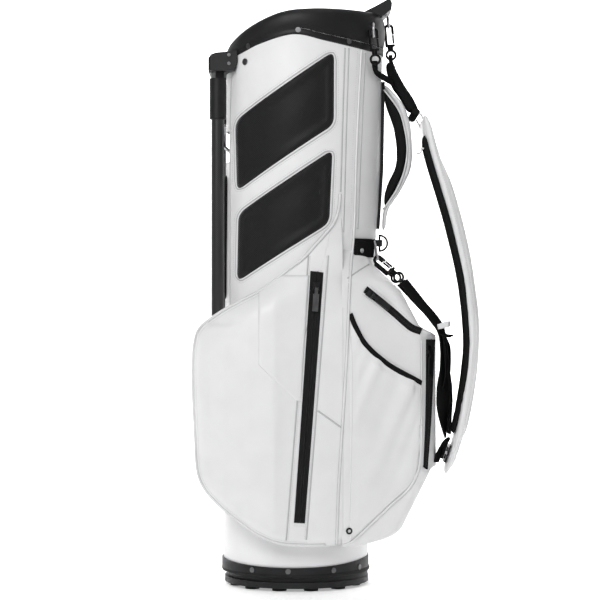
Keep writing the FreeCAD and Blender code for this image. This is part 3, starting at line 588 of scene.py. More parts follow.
PU_WHITE = leather("white_pu_leather", (0.80, 0.80, 0.805), 0.42, dark=0.985)
PU_PIPING = leather("white_piping", (0.74, 0.74, 0.745), 0.40, 0.8, 0.04)
# Mid grey for seam ridges and for the lines beside pipings: painted shade of the seams' hollows, darker than
# the white leather really is.
PU_SEAM_SHADE = leather("white_seam_fold", (0.50, 0.50, 0.505), 0.5, 0.8, 0.04)
PU_BLACK = leather("black_padded_leather", (0.010, 0.010, 0.011), 0.46, 1.2, 0.09, 0.8)
PLASTIC = moulded("black_moulded_plastic", (0.010, 0.010, 0.011), 0.46)
RUBBER = moulded("black_rubber", (0.008, 0.008, 0.008), 0.7, 0.1)
WEB = woven("black_webbing", (0.016, 0.016, 0.0165), 0.75, 1.6, 0.25)
TAPE = woven("zip_tape", (0.026, 0.026, 0.0265), 0.8, 0.8, 0.12)
LINING = woven("black_lining_cloth", (0.010, 0.010, 0.011), 0.85, 1.1, 0.15)
MESH = perforated("black_spacer_mesh", (0.009, 0.009, 0.0095))
PAD_CLOTH = woven("black_pad_cloth", (0.018, 0.018, 0.0185), 0.95, 1.3, 0.2)
CARBON = carbon("carbon_tube")
STEEL = metal("nickel_steel", (0.62, 0.62, 0.64), 0.28)
DARK_STEEL = metal("dark_steel", (0.16, 0.16, 0.165), 0.3)
GUNMETAL = metal("gunmetal", (0.045, 0.045, 0.047), 0.3)
BLACK_METAL = metal("black_painted_metal", (0.016, 0.016, 0.017), 0.34)
THREAD_WHITE = thread("white_thread", (0.60, 0.60, 0.61))
THREAD_BLACK = thread("black_thread", (0.018, 0.018, 0.019))
COIL = moulded("nylon_coil", (0.02, 0.02, 0.0205), 0.38)
FIBRE = moulded("glass_fibre", (0.62, 0.6, 0.5), 0.4)


def finish_cad():
    """Give each CAD node that stays in sight its material."""
    looks = {
        PLASTIC: ["divider_rails", "lift_handle", "leg_bracket", "boot", "foot_plate", "rod_guides",
                  "spine_bar", "near_leg_hub", "far_leg_hub", "towel_loop"],
        LINING: ["divider_panels"],
        FIBRE: ["stay_rods"],
        CARBON: ["near_leg_tube", "far_leg_tube"],
        RUBBER: ["tread_pads", "near_leg_foot", "far_leg_foot"],
        WEB: ["strap_anchors", "strap_webbing", "strap_yoke", "slip_bindings"],
        TAPE: ["side_zip_tapes", "ball_zip_tapes", "valuables_zip_tape"],
        MESH: ["mesh_pads", "hip_pad", "handle_lining", "pad_linings"],
        PU_WHITE: ["body_tube", "near_side_pocket", "far_side_pocket", "ball_pocket", "handle_shell",
                   "pad_shells"],
        PU_BLACK: ["top_cuff"],
        GUNMETAL: ["near_zip_slider", "far_zip_slider", "ball_zip_slider", "ball_zip_pull",
                   "valuables_zip_slider", "valuables_zip_pull", "ladder_buckles", "grommets"],
        BLACK_METAL: ["top_clip", "side_clip", "lower_clips", "top_clip_gate", "side_clip_gate",
                      "near_lower_gate", "far_lower_gate", "towel_ring"],
        STEEL: ["leg_pivot_pins", "hinge_pins", "strap_rings", "actuator_rod"],
        DARK_STEEL: ["rivets", "screws", "near_zip_pull", "far_zip_pull"],
    }
    for material, nodes in looks.items():
        for node in nodes:
            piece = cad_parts[node]
            piece.data.materials.clear()
            piece.data.materials.append(material)


# ---- stage ------------------------------------------------------------------------
VIEW_MM = 930.0            # width of the picture at the bag
DISTANCE = 2900.0
STAGE_GLOW = 0.62          # the floor and backdrop are lit from within, like a light table
GLOW_START_Y = (-0.5, 0.3)  # metres: the glow sets in over this stretch of floor
GLOW_END_Z = (1.3, 1.8)    # metres: and fades out over this height of backdrop
EYE_X = 7.75
EYE_Z = 438.0


def stage():
    """Pale floor that curves up into a backdrop, and soft lights."""
    m = Shader("pale_stage", (0.95, 0.95, 0.95), 0.9, specular=0.1)
    m.shade(m.noise(400, 2), 0.995, 1.0)
    m.glow(STAGE_GLOW)
    m.one_sided()
    size = 6000.0
    bend = 900.0
    profile = [(-size, 0.0), (1200.0, 0.0)]
    for k in range(1, 13):
        angle = math.pi / 2 * k / 12
        profile.append((1200.0 + bend * math.sin(angle), bend * (1 - math.cos(angle))))
    profile.append((1200.0 + bend, 5000.0))
    rows = [[Vector((x, y, z)) for x in (-size, 0, size)] for y, z in profile]
    verts, faces = grid(rows)
    mesh = bpy.data.meshes.new("backdrop")
    mesh.from_pydata([v * MM for v in verts], [], faces)
    backdrop = bpy.data.objects.new("backdrop", mesh)
    bpy.context.scene.collection.objects.link(backdrop)
    mesh.materials.append(m.material)
    for poly in mesh.polygons:
        poly.use_smooth = True
    lamp("key", (-1.0, -2.9, 2.1), 1.4, 62, (0.0, 0.0, 0.45))
    lamp("fill", (2.4, -2.2, 0.9), 2.2, 3.5, (0.0, 0.0, 0.4))
    lamp("top", (0.2, -0.4, 2.6), 1.4, 6, (0.0, 0.0, 0.5))
    for side in (-1, 1):
        lamp("wall_%d" % (side + 1), (side * 1.4, 1.05, 1.5), 1.2, 30, (side * 0.35, 2.7, 0.9))
    world = bpy.data.worlds.new("studio")
    world.use_nodes = True
    world.node_tree.nodes["Background"].inputs["Color"].default_value = (1, 1, 1, 1)
    world.node_tree.nodes["Background"].inputs["Strength"].default_value = 0.27
    bpy.context.scene.world = world
    bpy.context.scene.view_settings.view_transform = "Standard"


def lamp(name, place, size, power, target):
    light = bpy.data.lights.new(name, "AREA")
    light.size = size
    light.energy = power
    lamp_object = bpy.data.objects.new(name, light)
    lamp_object.location = place
    lamp_object.rotation_euler = (Vector(target) - Vector(place)).to_track_quat("-Z", "Y").to_euler()
    bpy.context.scene.collection.objects.link(lamp_object)


def camera():
    lens = bpy.data.cameras.new("view")
    lens.sensor_width = 36.0
    lens.lens = 36.0 * DISTANCE / VIEW_MM
    lens.clip_end = 30.0
    eye = bpy.data.objects.new("view", lens)
    eye.location = Vector((EYE_X, -DISTANCE, EYE_Z)) * MM
    eye.rotation_euler = (math.pi / 2, 0, 0)
    bpy.context.scene.collection.objects.link(eye)
    bpy.context.scene.camera = eye


# ---- body ---------------------------------------------------------------------------
# Plan of the pockets' outer face, near side: X, Y.
PLAN = [(-152, -88), (-146, -103), (-128, -121), (-104, -133), (-68, -143), (-30, -147), (75, -124),
        (188, -82), (214, -46), (217, 0)]
SKIN_FOOT = 33.0           # the skin ends inside the boot, clear of the foot plate's travel
SLOT_HALF_Y = 32.0         # the wires leave the body through this slot
SLOT_Z = (646.0, 694.0)


def plan_y(x):
    """Y of the pockets' outer face, near side, at X."""
    for a, b in zip(PLAN, PLAN[1:]):
        if x <= b[0]:
            break
    return a[1] + (b[1] - a[1]) * max(0.0, min(1.0, (x - a[0]) / (b[0] - a[0])))


def body_skin():
    """The laminated skin round the body, a little uneven, open at the wires' slot."""
    rows = []
    columns = 200
    level = SKIN_FOOT
    while level < 860:
        row = []
        for k in range(columns):
            angle = 2 * math.pi * k / columns
            point = on_body(angle, level)
            top = at(SEAM, point.x) + 8
            z = min(level, top)
            bulge = 0.7 * ruffle(point, 90.0) * ease(z, 60, 140) * (1 - ease(z, top - 60, top))
            row.append(on_body(angle, z, bulge))
        rows.append(row)
        level += 8

    def in_slot(p):
        return p.x < -90 and abs(p.y) < SLOT_HALF_Y and SLOT_Z[0] < p.z < SLOT_Z[1]

    verts, faces = grid(rows, close_cols=True, skip=in_slot)
    piece = make("body_skin", verts, faces, PU_WHITE)
    shell = piece.modifiers.new("thick", "SOLIDIFY")
    shell.thickness = 2.4 * MM
    shell.offset = -1
    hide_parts("body_tube")
    return piece


# ---- cuff -----------------------------------------------------------------------------
def cuff():
    """Padded collar: a rounded band with a bead along its lower edge and a crowned rim."""
    columns = 220
    rows = []
    # Each station: share of the height from seam to rim, distance outside the body.
    outside = [(-0.04, -2.0), (-0.03, 1.2), (0.0, 2.2), (0.04, 2.4), (0.09, 2.1), (0.13, 1.7), (0.2, 2.0),
               (0.32, 3.3), (0.5, 4.3), (0.7, 3.8), (0.84, 2.2), (0.93, -0.6), (0.98, -4.2), (1.0, -7.5),
               (0.985, -11.0), (0.94, -13.4), (0.86, -14.4), (0.7, -14.4), (0.4, -14.4), (0.1, -14.4),
               (-0.3, -14.2), (-0.5, -14.0)]
    for share, out in outside:
        row = []
        for k in range(columns):
            angle = 2 * math.pi * k / columns
            base = on_body(angle, 850)
            low = at(SEAM, base.x)
            high = at(RIM, base.x)
            row.append(on_body(angle, low + (high - low) * share, out))
        rows.append(row)
    bottom = [(p - on_body_axis(p)) * 0.986 + on_body_axis(p) for p in rows[-1]]
    rows.append(bottom)
    verts, faces = grid(rows, close_rows=True, close_cols=True)
    piece = make("cuff_pad", verts, faces, PU_BLACK)
    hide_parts("top_cuff")
    smoother = piece.modifiers.new("round", "SUBSURF")
    smoother.levels = 1
    smoother.render_levels = 1
    line = []
    for k in range(columns + 1):
        angle = 2 * math.pi * k / columns
        base = on_body(angle, 850)
        low = at(SEAM, base.x)
        high = at(RIM, base.x)
        share = 0.15 + 0.2 * math.exp(-((base.x - 4) / 62.0) ** 2)
        line.append(on_body(angle, low + (high - low) * share, 2.0 + 1.5 * ease(share, 0.16, 0.3)))
    stitches("cuff_stitches", line, radial, 4.2, 2.8, 0.38, THREAD_BLACK)


def on_body_axis(p):
    """The body's axis point at a point's height."""
    return Vector((section(p.z)[0], 0, p.z))


def radial(p):
    """Outward direction of the body at a point."""
    centre, half, depth = section(p.z)
    return Vector(((p.x - centre) / half ** 2, p.y / depth ** 2, 0)).normalized()


# ---- draping on what is already built -------------------------------------------------
class Ground:
    """Surfaces that seams, pipings and tapes are laid on, seen from the near side."""

    def __init__(self, *pieces):
        graph = bpy.context.evaluated_depsgraph_get()
        graph.update()
        self.trees = [BVHTree.FromObject(piece, graph) for piece in pieces]

    def hit(self, x, z):
        """Nearest surface point seen from -Y, and the surface's direction there."""
        best = None
        for tree in self.trees:
            place, normal, _, _ = tree.ray_cast(Vector((x, -400, z)) * MM, Vector((0, 1, 0)))
            if place is not None and (best is None or place.y < best[0].y):
                best = (place, normal)
        if best is None:
            return near_point(x, z), Vector((0, -1, 0))
        place, normal = best
        if normal.y > 0:
            normal = -normal
        return place / MM, normal

    def line(self, points, lift=0.0, step=4.0, closed=False, per=8):
        """A smooth line of X, Z points laid on the surface, and the directions away from it."""
        flat = even(smooth([Vector((x, 0, z)) for x, z in points], per, closed), step, closed)
        path = []
        ups = []
        for p in flat:
            place, normal = self.hit(p.x, p.z)
            path.append(place + normal * lift)
            ups.append(normal)
        calm = [sum(ups[max(0, k - 2):k + 3], Vector()).normalized() for k in range(len(ups))]
        return path, calm


def piping(name, ground, points, radius=1.9, sink=0.35, material=None, closed=False):
    """A corded edge half sunk in the surface, with a thin grey tube along each side as painted shade in the
    hollow beside it.
    """
    path, ups = ground.line(points, radius * (1 - 2 * sink), 4.0, closed)
    for side in (-1, 1):
        groove = []
        for k, p in enumerate(path):
            along = (path[min(k + 1, len(path) - 1)] - path[max(k - 1, 0)]).normalized()
            groove.append(p + along.cross(ups[k]) * (side * radius * 1.05) - ups[k] * (radius * 0.45))
        # Grey tubes beside the piping: painted shade, not a part of the bag.
        shade = tube("%s_fold_%d" % (name, side + 1), groove, 0.55, PU_SEAM_SHADE, BAG, closed, 6)
        if name.startswith("near"):
            mirrored(shade, shade.name.replace("near", "far"), BAG)
    return tube(name, path, radius, material or PU_PIPING, BAG, closed, 8)


def seam(name, ground, points, width=1.3, lift=0.1, closed=False):
    """A low ridge where two panels meet, coloured grey as painted shade along the seam."""
    path, ups = ground.line(points, lift, 4.0, closed)
    outline = [(-width, -0.6), (-width * 0.6, 0.55), (0, 0.85), (width * 0.6, 0.55), (width, -0.6)]
    verts, faces = sweep(path, outline, closed, ups)
    return make(name, verts, faces, PU_SEAM_SHADE, BAG)


def sewn(name, ground, points, pitch=3.4, lift=0.15, material=None, closed=False):
    """A row of stitches on the surface."""
    path, ups = ground.line(points, lift, 2.0, closed)
    tree = list(zip(path, ups))

    def away(p):
        return min(tree, key=lambda pair: (pair[0] - p).length_squared)[1]

    return stitches(name, path, away, pitch, pitch * 0.68, 0.3, material or THREAD_WHITE, BAG)


# ---- pockets ----------------------------------------------------------------------------
# Side pocket outline seen along Y, from the top of its seam round to the ball pocket's seam.
# Lines on the pockets seen along Y: X, Z; BALL_RIGHT is Z, X.
SIDE_EDGE = [(68.5, 600), (66.5, 578), (60, 558), (47, 541), (32, 524), (14, 504), (-8, 487), (-48, 457),
             (-80, 440), (-112, 422), (-144, 398), (-153, 374), (-155.5, 345), (-155, 290), (-152, 233),
             (-148, 182), (-137, 155), (-113, 130), (-76, 101.5), (-50, 86), (-20, 75.5), (20, 72),
             (46, 72), (72, 74)]
SEAM_LINE = [(100, 816), (96, 740), (92, 649), (89, 543), (84, 490), (81, 450), (77, 355), (71, 257),
             (65, 160), (62, 75)]
BALL_RIGHT = [(70, 108), (76, 132), (82, 147), (92, 161), (134, 182), (180, 205), (250, 215), (330, 216),
              (386, 213), (398, 189), (453, 160), (462, 150), (494, 118), (512, 104)]
ZIP_LINE = [(32.8, 479.5), (20.5, 298), (6.8, 109)]


def edge_distance(p, line):
    """Distance of a flat point from a line of flat points."""
    best = 1e9
    for a, b in zip(line, line[1:]):
        ab = b - a
        t = max(0.0, min(1.0, (p - a).dot(ab) / max(ab.length_squared, 1e-9)))
        best = min(best, (p - a - ab * t).length)
    return best


def side_surface(x, z, distance):
    """Y of the side pocket's face at X, Z, that far inside its edge."""
    out = plan_y(x)
    body = body_y(max(-106.0, x), z) if x > -106 else -20.0
    body = min(body, -62.0) if x < -60 else body
    top = max(0.0, min(1.0, (z - 425) / 140.0))
    lift = 1 - top * top * (3 - 2 * top) * ease(x, -40, 45)
    soft = 46.0 if z > 400 and x > -150 else 15.0
    roll = min(1.0, distance / soft)
    edge = 0.80 if z <= 400 else 0.80 - 0.42 * ease(z, 400, 470)
    rise = (edge + (1 - edge) * math.sin(roll * math.pi / 2)) * lift
    full = ease(z, 60, 300) * (1 - ease(z, 380, 560))
    wave = 2.2 * ruffle(Vector((x, 30, z)), 62.0) * min(1.0, distance / 40.0) * (1 - ease(x, -30, -6))
    belly = 3.2 * full * math.sin(math.pi * max(0.0, min(1.0, (x + 150) / 150.0)))
    return body + (out - body) * rise - (wave + belly) * lift * (1 - ease(x, -40, -8))


def side_pocket():
    """One closed side pocket: face from rings inside the edge, gusset from the edge to the body."""
    edge = even([Vector(p) for p in smooth([Vector(p) for p in SIDE_EDGE], 8)], 5.0)
    right = [Vector((72 - 3.5 * ease(z, 520, 600), z)) for z in range(79, 598, 5)]
    loop = edge + right
    open_edge = edge
    middle = Vector((-10, 290))
    rings = 34
    rows = []
    for ring in range(rings + 1):
        share = 1 - ring / (rings + 0.0)
        share = share ** 0.8 if share > 0 else 0.0
        row = []
        for p in loop:
            q = middle + (p - middle) * share
            y = side_surface(q.x, q.y, edge_distance(q, open_edge))
            row.append(Vector((q.x, y, q.y)))
        rows.append(row)
    gusset = []
    for step in (1, 2, 3, 4, 5):
        row = []
        for p, first in zip(loop, rows[0]):
            t = step / 5
            inward = (p - middle).normalized() * (10.0 * t * t)
            x = p.x - inward.x * (2.2 if p.x < -60 else 0.7)
            z = p.y - inward.y * 0.9
            back = body_y(max(x, -104.0), z, -3.0) if x > -104 else -46.0
            back = min(back, -46.0) if x < -60 else back
            row.append(Vector((x, first.y + (back - first.y) * t, z)))
        gusset.append(row)
    verts, faces = grid(gusset[::-1] + rows, close_cols=True)
    piece = make("near_side_pouch", verts, faces, PU_WHITE)
    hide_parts("near_side_pocket")
    return piece


def ball_section(z):
    """Plan of the ball pocket's shell at a height, near half, from the seam to the middle."""
    right = BALL_RIGHT[-1][1]
    for a, b in zip(BALL_RIGHT, BALL_RIGHT[1:]):
        if z <= b[0]:
            right = a[1] + (b[1] - a[1]) * (z - a[0]) / (b[0] - a[0])
            break
    face = min(right - 3, 205.0)
    corner = 12.0 + 14.0 * ease(z, 380, 470) + 10 * (1 - ease(z, 90, 190))
    flat = [Vector((70, plan_y(70)))]
    x = 76.0
    while x < face - corner:
        flat.append(Vector((x, plan_y(x))))
        x += 6.0
    start = flat[-1]
    deep = plan_y(face - corner)
    if z < 386 and z > 180:
        flat += [Vector((188, -82)), Vector((212, -50)), Vector((215.5, -30)), Vector((right, 0))]
    else:
        end = Vector((right, max(deep + corner * 1.1, -70.0)))
        control = Vector((right, deep))
        for k in range(1, 7):
            t = k / 6
            flat.append(start * (1 - t) ** 2 + control * 2 * t * (1 - t) + end * t ** 2)
        flat.append(Vector((right, 0)))
    return smooth(flat, 2) if z < 386 and z > 180 else flat


def ball_pouch():
    """The ball pocket's shell: rounded sections from its bottom to its sloping top."""
    columns = 90
    rows = []
    levels = [70, 71.5, 74, 78] + list(range(83, 380, 6)) + list(range(380, 512, 4)) + [513]
    for z in levels:
        half = even(ball_section(z), 400.0 / columns)
        line = even_count([Vector((p.x, p.y, 0)) for p in half], columns // 2)
        near = [Vector((p.x, p.y, z)) for p in line]
        shrink = 0.0
        if z < 84:
            shrink = 0.16 * (1 - (z - 70) / 14.0) ** 2
        back = ease(z, 462, 513)
        moved = []
        for p in near:
            anchor = Vector((70, -55, z))
            out = p.lerp(anchor, shrink)
            swell = ruffle(Vector((out.x, 0, z)), 70.0) * 1.0
            weight = ease(out.x, 82, 110) * ease(z, 90, 130) * (1 - ease(z, 330, 380))
            out.y -= swell * weight * (1 if out.y < -20 else 0)
            wall = body_y(out.x, z, 1.0)
            if out.y < wall:
                out.y += (min(0.0, wall) - out.y) * back
            moved.append(out)
        row = moved + [Vector((p.x, -p.y, p.z)) for p in moved[-2::-1]]
        rows.append(row)
    for z, group in ((68, 0), (514, -1)):
        source = rows[group]
        cap = []
        for p in source:
            inner = Vector((95, 0, z))
            cap.append(p.lerp(inner, 0.55))
        rows = [cap] + rows if group == 0 else rows + [cap]
    verts, faces = grid(rows)
    piece = make("ball_pouch", verts, faces, PU_WHITE)
    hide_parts("ball_pocket")
    return piece


def even_count(points, count):
    """A line with exactly count + 1 points at even distances."""
    lengths = [0.0]
    for a, b in zip(points, points[1:]):
        lengths.append(lengths[-1] + (b - a).length)
    out = []
    j = 0
    for i in range(count + 1):
        target = lengths[-1] * i / count
        while j < len(lengths) - 2 and lengths[j + 1] < target:
            j += 1
        span = max(lengths[j + 1] - lengths[j], 1e-9)
        out.append(points[j].lerp(points[j + 1], (target - lengths[j]) / span))
    return out


# ---- pads on the body ---------------------------------------------------------------
MESH_PADS = [[(-91, 710), (59, 811), (59, 700), (-88, 603)], [(-86, 569), (57, 664), (52, 553), (-88, 465)]]


# Rings from the edge of a pad to its middle, as shares of the outline.
PAD_RINGS = (1.0, 0.994, 0.985, 0.972, 0.955, 0.93, 0.90, 0.87, 0.84, 0.80, 0.7, 0.58, 0.44, 0.3, 0.15, 0.02)
HIP_RINGS = (1.0, 1.0, 0.99, 0.97, 0.94, 0.90, 0.85, 0.8, 0.7, 0.58, 0.44, 0.3, 0.15, 0.02)


def mesh_pad(name, corners):
    """One quilted mesh pad on the near side: a raised border, a groove and a soft middle."""
    outline = rounded([Vector(p) for p in corners], 13.0, 6)
    loop = even(outline, 3.0, True)
    middle = sum(loop, Vector((0, 0))) / len(loop)
    rows = []
    for share in PAD_RINGS:
        row = []
        for p in loop:
            q = middle + (p - middle) * share
            distance = edge_distance(q, loop + loop[:1])
            rim = 4.6 * math.sin(min(1.0, distance / 4.5) * math.pi / 2)
            dip = 1.9 * ease(distance, 9.0, 14.0)
            crown = 1.2 * ease(distance, 14.0, 45.0)
            uneven = 0.35 * ruffle(Vector((q.x, 7, q.y)), 24.0) * ease(distance, 10, 30)
            row.append(near_point(q.x, q.y, -0.4 + rim - dip + crown + uneven))
        rows.append(row)
    verts, faces = grid(rows, close_cols=True)
    faces.append(tuple(range(len(verts) - len(loop), len(verts))))
    piece = make(name, verts, faces, MESH)
    return piece, outline


def margin(outline, gap):
    """The closed outline moved outwards by an even gap."""
    loop = even(outline, 9.0, True)
    middle = sum(loop, Vector((0, 0))) / len(loop)
    out = []
    for k, p in enumerate(loop):
        along = (loop[(k + 1) % len(loop)] - loop[k - 1]).normalized()
        away = Vector((along.y, -along.x))
        if away.dot(p - middle) < 0:
            away = -away
        out.append(tuple(p + away * gap))
    return out


def mesh_pads(ground):
    """Both mesh pads of the near side and their far twins, each in a stitched frame."""
    near = []
    for number, corners in enumerate(MESH_PADS):
        piece, outline = mesh_pad("near_mesh_pad_%d" % number, corners)
        frame_line = margin(outline, 2.6)
        stitch_line = margin(outline, 6.0)
        # The frame is a seam ridge in grey: painted shade at the pad's edge.
        ridge = seam("near_pad_frame_%d" % number, ground, frame_line, 1.2, 0.0, True)
        row = sewn("near_pad_stitch_%d" % number, ground, stitch_line, closed=True)
        near += [piece, ridge, row]
    for piece in near:
        twin = mirrored(piece, piece.name.replace("near", "far"), BAG)
        if "mesh_pad" in piece.name:
            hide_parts("mesh_pads")
            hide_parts("mesh_pads")


# ---- carry handle and shoulder straps --------------------------------------------------
STRAP_Y = 40.0             # each strap hangs this far from the middle
FAR_OUT = 12.0             # the far strap hangs this much further from the spine
FAR_SPAN = 100.0           # and leaves the near one's line over this drop
PAD_TOP = 727.0            # where the far pad starts to leave it
WEB_TOP = 466.0            # and where its webbing does
HANDLE_OUTER = [(137, 773), (165, 743), (174, 722), (180, 701), (182, 656), (177, 636), (161, 604),
                (143, 576), (141, 545)]
HANDLE_SPLIT = [(137, 762), (159, 732), (168, 706), (173, 670), (168, 636), (156, 607), (137, 579),
                (136, 545)]
HANDLE_EDGE = [(137, 766), (153, 744), (165, 720), (171.5, 693), (173, 670), (168, 641), (156, 613),
               (143, 590), (137, 580)]
HANDLE_INNER = [(137, 750), (148, 723), (155, 701), (159, 670), (157, 644), (146, 620), (137, 600)]
PAD_OUTER = [(196, 727), (205, 708), (214, 676), (226, 638), (242, 589), (259, 520), (268, 464), (275, 403),
             (273, 342), (267, 291), (257, 241), (249, 222), (240, 196), (228, 166)]
PAD_SPLIT = [(190, 716), (197, 695), (204, 665), (212, 638), (236, 555), (256, 468), (265, 382), (262, 332),
             (256, 291), (248, 251), (242, 222), (234, 196), (224, 174)]
PAD_EDGE = [(198, 692), (206, 663), (213.5, 637), (238.5, 554), (258, 467), (266.5, 382), (263.5, 332),
            (254.5, 291), (246.5, 252), (240.5, 227)]
PAD_INNER = [(192, 688), (198, 661), (206, 634), (230, 553), (250, 467), (259, 382), (256, 332), (250, 291),
             (242, 253), (237, 230)]
YOKE_OUTER = [(154, 806), (155, 796), (169, 770), (179, 755), (187, 742), (193, 730)]
YOKE_INNER = [(141, 806), (142, 792), (150, 769), (159, 756), (167, 744), (175, 728)]
LOWER_WEB = [(166, 466), (190, 436), (212, 408), (222, 387), (225, 346), (225, 300), (226, 262), (230, 228)]

LOWER_WEB_TWIST = [36, 36, 34, 30, 14, 12, 20, 46, 52, 30, 6]


def filled(name, outer, inner, y_mid, half, material, slim=0.86, pressure=4.0, cap=3.0, voxel=4.0):
    """A stuffed band between two lines seen along Y, blown up a little by cloth simulation."""
    count = 110
    high = even_count([Vector(p) for p in smooth([Vector(p) for p in outer], 8)], count)
    low = even_count([Vector(p) for p in smooth([Vector(p) for p in inner], 8)], count)
    rows = []
    for k, (a, b) in enumerate(zip(high, low)):
        t = min(k, count - k) / 3.0
        tip = math.sqrt(max(0.04, 1 - (1 - min(1.0, t)) ** 2))
        middle = (a + b) / 2
        reach = (a - b) / 2 * slim * tip
        row = []
        for s in range(20):
            turn = 2 * math.pi * s / 20
            u = math.copysign(abs(math.cos(turn)) ** 0.55, math.cos(turn))
            u *= (half - 1.5) * (0.82 + 0.18 * tip)
            v = math.copysign(abs(math.sin(turn)) ** 0.75, math.sin(turn))
            row.append(Vector((middle.x + reach.x * v, y_mid + u, middle.y + reach.y * v)))
        rows.append(row)
    verts, faces = grid(rows, close_cols=True)
    faces.append(tuple(range(20))[::-1])
    faces.append(tuple(range(len(verts) - 20, len(verts))))
    piece = make(name, verts, faces, material, BAG)
    puff(piece, pressure, cap, voxel)
    return piece


def far_strap(piece, name, top):
    """The far side's copy of a strap piece, hanging a little further out."""
    twin = mirrored(piece, name, BAG)
    for vert in twin.data.vertices:
        vert.co.x += FAR_OUT * MM * max(0.0, min(1.0, (top - vert.co.z / MM) / FAR_SPAN))
    return twin


def shoulder_straps():
    """White shells with black linings on both straps, and their edge stitching."""
    shell = filled("near_pad_shell", PAD_OUTER, PAD_SPLIT, -STRAP_Y, 29.0, PU_WHITE, cap=2.5)
    lining = filled("near_pad_lining", PAD_EDGE, PAD_INNER, -STRAP_Y, 28.0, PAD_CLOTH, 1.0,
                    cap=1.5, voxel=3.5)
    twins = [(far_strap(shell, "far_pad_shell", PAD_TOP), "pad_shells"),
             (far_strap(lining, "far_pad_lining", PAD_TOP), "pad_linings")]
    for piece, node in [(shell, "pad_shells"), (lining, "pad_linings")] + twins:
        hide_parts(node)
    for side in (-1, 1):
        edge = [Vector((x + 9, -STRAP_Y + side * 28.6, z)) for x, z in PAD_SPLIT[1:-1]]
        name = "near_pad_stitches_%d" % (side + 1)
        row = stitches(name, smooth(edge, 8), (0, side, 0), 3.8, 2.5, 0.3, THREAD_WHITE)
        far_strap(row, "far_pad_stitches_%d" % (side + 1), PAD_TOP)


def carry_handle():
    """White outside and black inside of the carry handle, with piping and stitches at its edges."""
    shell = filled("handle_cover", HANDLE_OUTER, HANDLE_SPLIT, 0.0, 20.0, PU_WHITE, 0.9,
                   cap=1.2, voxel=3.0)
    grip = filled("handle_grip", HANDLE_EDGE, HANDLE_INNER, 0.0, 19.0, PAD_CLOTH, 1.0,
                  cap=1.5, voxel=3.0)
    for piece, node in ((shell, "handle_shell"), (grip, "handle_lining")):
        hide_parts(node)
    for side in (-1, 1):
        line = [Vector((x, side * 18.5, z)) for x, z in HANDLE_SPLIT[:-1]]
        tube("handle_piping_%d" % (side + 1), even(smooth(line, 8), 4.0), 1.3, PU_PIPING, BAG)
        mids = [Vector(((a[0] + b[0]) / 2, side * 19.6, (a[1] + b[1]) / 2)) for a, b in
                zip(HANDLE_OUTER[:-2], HANDLE_SPLIT[:-1])]
        name = "handle_stitches_%d" % (side + 1)
        stitches(name, smooth(mids, 8), (0, side, 0), 3.4, 2.3, 0.3, THREAD_WHITE)


def yoke():
    """The black gathering piece over the handle, with its cross bar."""
    band = filled("yoke_band", YOKE_OUTER, YOKE_INNER, 0.0, 17.0, WEB, 0.95, cap=1.0, voxel=3.0)
    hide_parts("strap_yoke")
    bar = [Vector((184, y, 724)) for y in (-59, -45, -20, 0, 20, 45, 59)]
    cross = webbing("yoke_bar", even(smooth(bar, 6), 4.0), 13, 9, (0.25, 0, 1), WEB)
    bevel(cross, 1.0)
    for side in (-1, 1):
        line = [Vector(((a[0] * 0.8 + b[0] * 0.2), side * 15.6, a[1] * 0.8 + b[1] * 0.2)) for a, b in
                zip(YOKE_OUTER, YOKE_INNER)]
        name = "yoke_stitches_%d" % (side + 1)
        stitches(name, smooth(line, 8), (0, side, 0), 3.6, 2.4, 0.35, THREAD_BLACK)


def turned_band(name, points, y_mid, width, thickness, twist):
    """Webbing along an X, Z line, twisted by the angles in degrees given at its points."""
    line = even(smooth([Vector((x, y_mid, z)) for x, z in points], 8), 4.0)
    ups = []
    for k, p in enumerate(line):
        along = (line[min(k + 1, len(line) - 1)] - line[max(k - 1, 0)]).normalized()
        flat = Vector((0, 1, 0)).cross(along).normalized()
        share = k / (len(line) - 1) * (len(twist) - 1)
        first = min(int(share), len(twist) - 2)
        angle = twist[first] + (twist[first + 1] - twist[first]) * (share - first)
        ups.append(Matrix.Rotation(math.radians(angle), 3, along) @ flat)
    verts, faces = sweep(line, flat_oval(width, thickness), False, ups)
    return make(name, verts, faces, WEB, BAG)


def lower_webbing():
    """The webbing from each lower clip down to the ladder buckle, with its tail and keeper."""
    main = turned_band("near_lower_web", LOWER_WEB, -STRAP_Y, 25, 2.4, LOWER_WEB_TWIST)
    slack = [(224, 386), (230, 366), (231, 344), (230, 322), (227, 300)]
    strand = turned_band("near_web_strand", slack, -STRAP_Y - 3, 14, 1.8, [0, 10, 10, 10, 20])
    tail = turned_band("near_web_tail", [(231, 222), (224, 214), (220, 203), (216, 190)], -STRAP_Y, 24, 2.2,
                       [0, 15, 25, 20])
    keeper = [Vector((x, y, z)) for x, y, z in
              ((218, -47, 397), (235, -47, 401), (235, -31, 401), (218, -31, 397))]
    square = even([p for p in rounded(keeper, 3.0)], 2.0, True)
    ring = webbing_ring("near_web_keeper", square)
    stub = turned_band("near_web_stub", [(220, 386), (229, 383), (238, 382)], -STRAP_Y, 20, 3.0, [0, 0, 0])
    for piece in (main, strand, tail, stub, ring):
        far_strap(piece, piece.name.replace("near", "far"), WEB_TOP)
    loop = [(148, 0, 817), (148.5, 0, 808), (151, 0, 796)]
    webbing("yoke_loop", even(smooth(loop, 6), 3.0), 16, 6, (1, 0, 0.1), WEB)
    band = [(120.5, -68, 800), (121.5, -67, 790), (124, -63, 783), (130, -51, 780), (141, -34, 776),
            (152, -17, 772)]
    webbing("side_web", even(smooth(band, 8), 4.0), 12, 2.4, (0.5, -0.6, 0.25), WEB)
    for piece in (main, strand):
        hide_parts("strap_webbing")


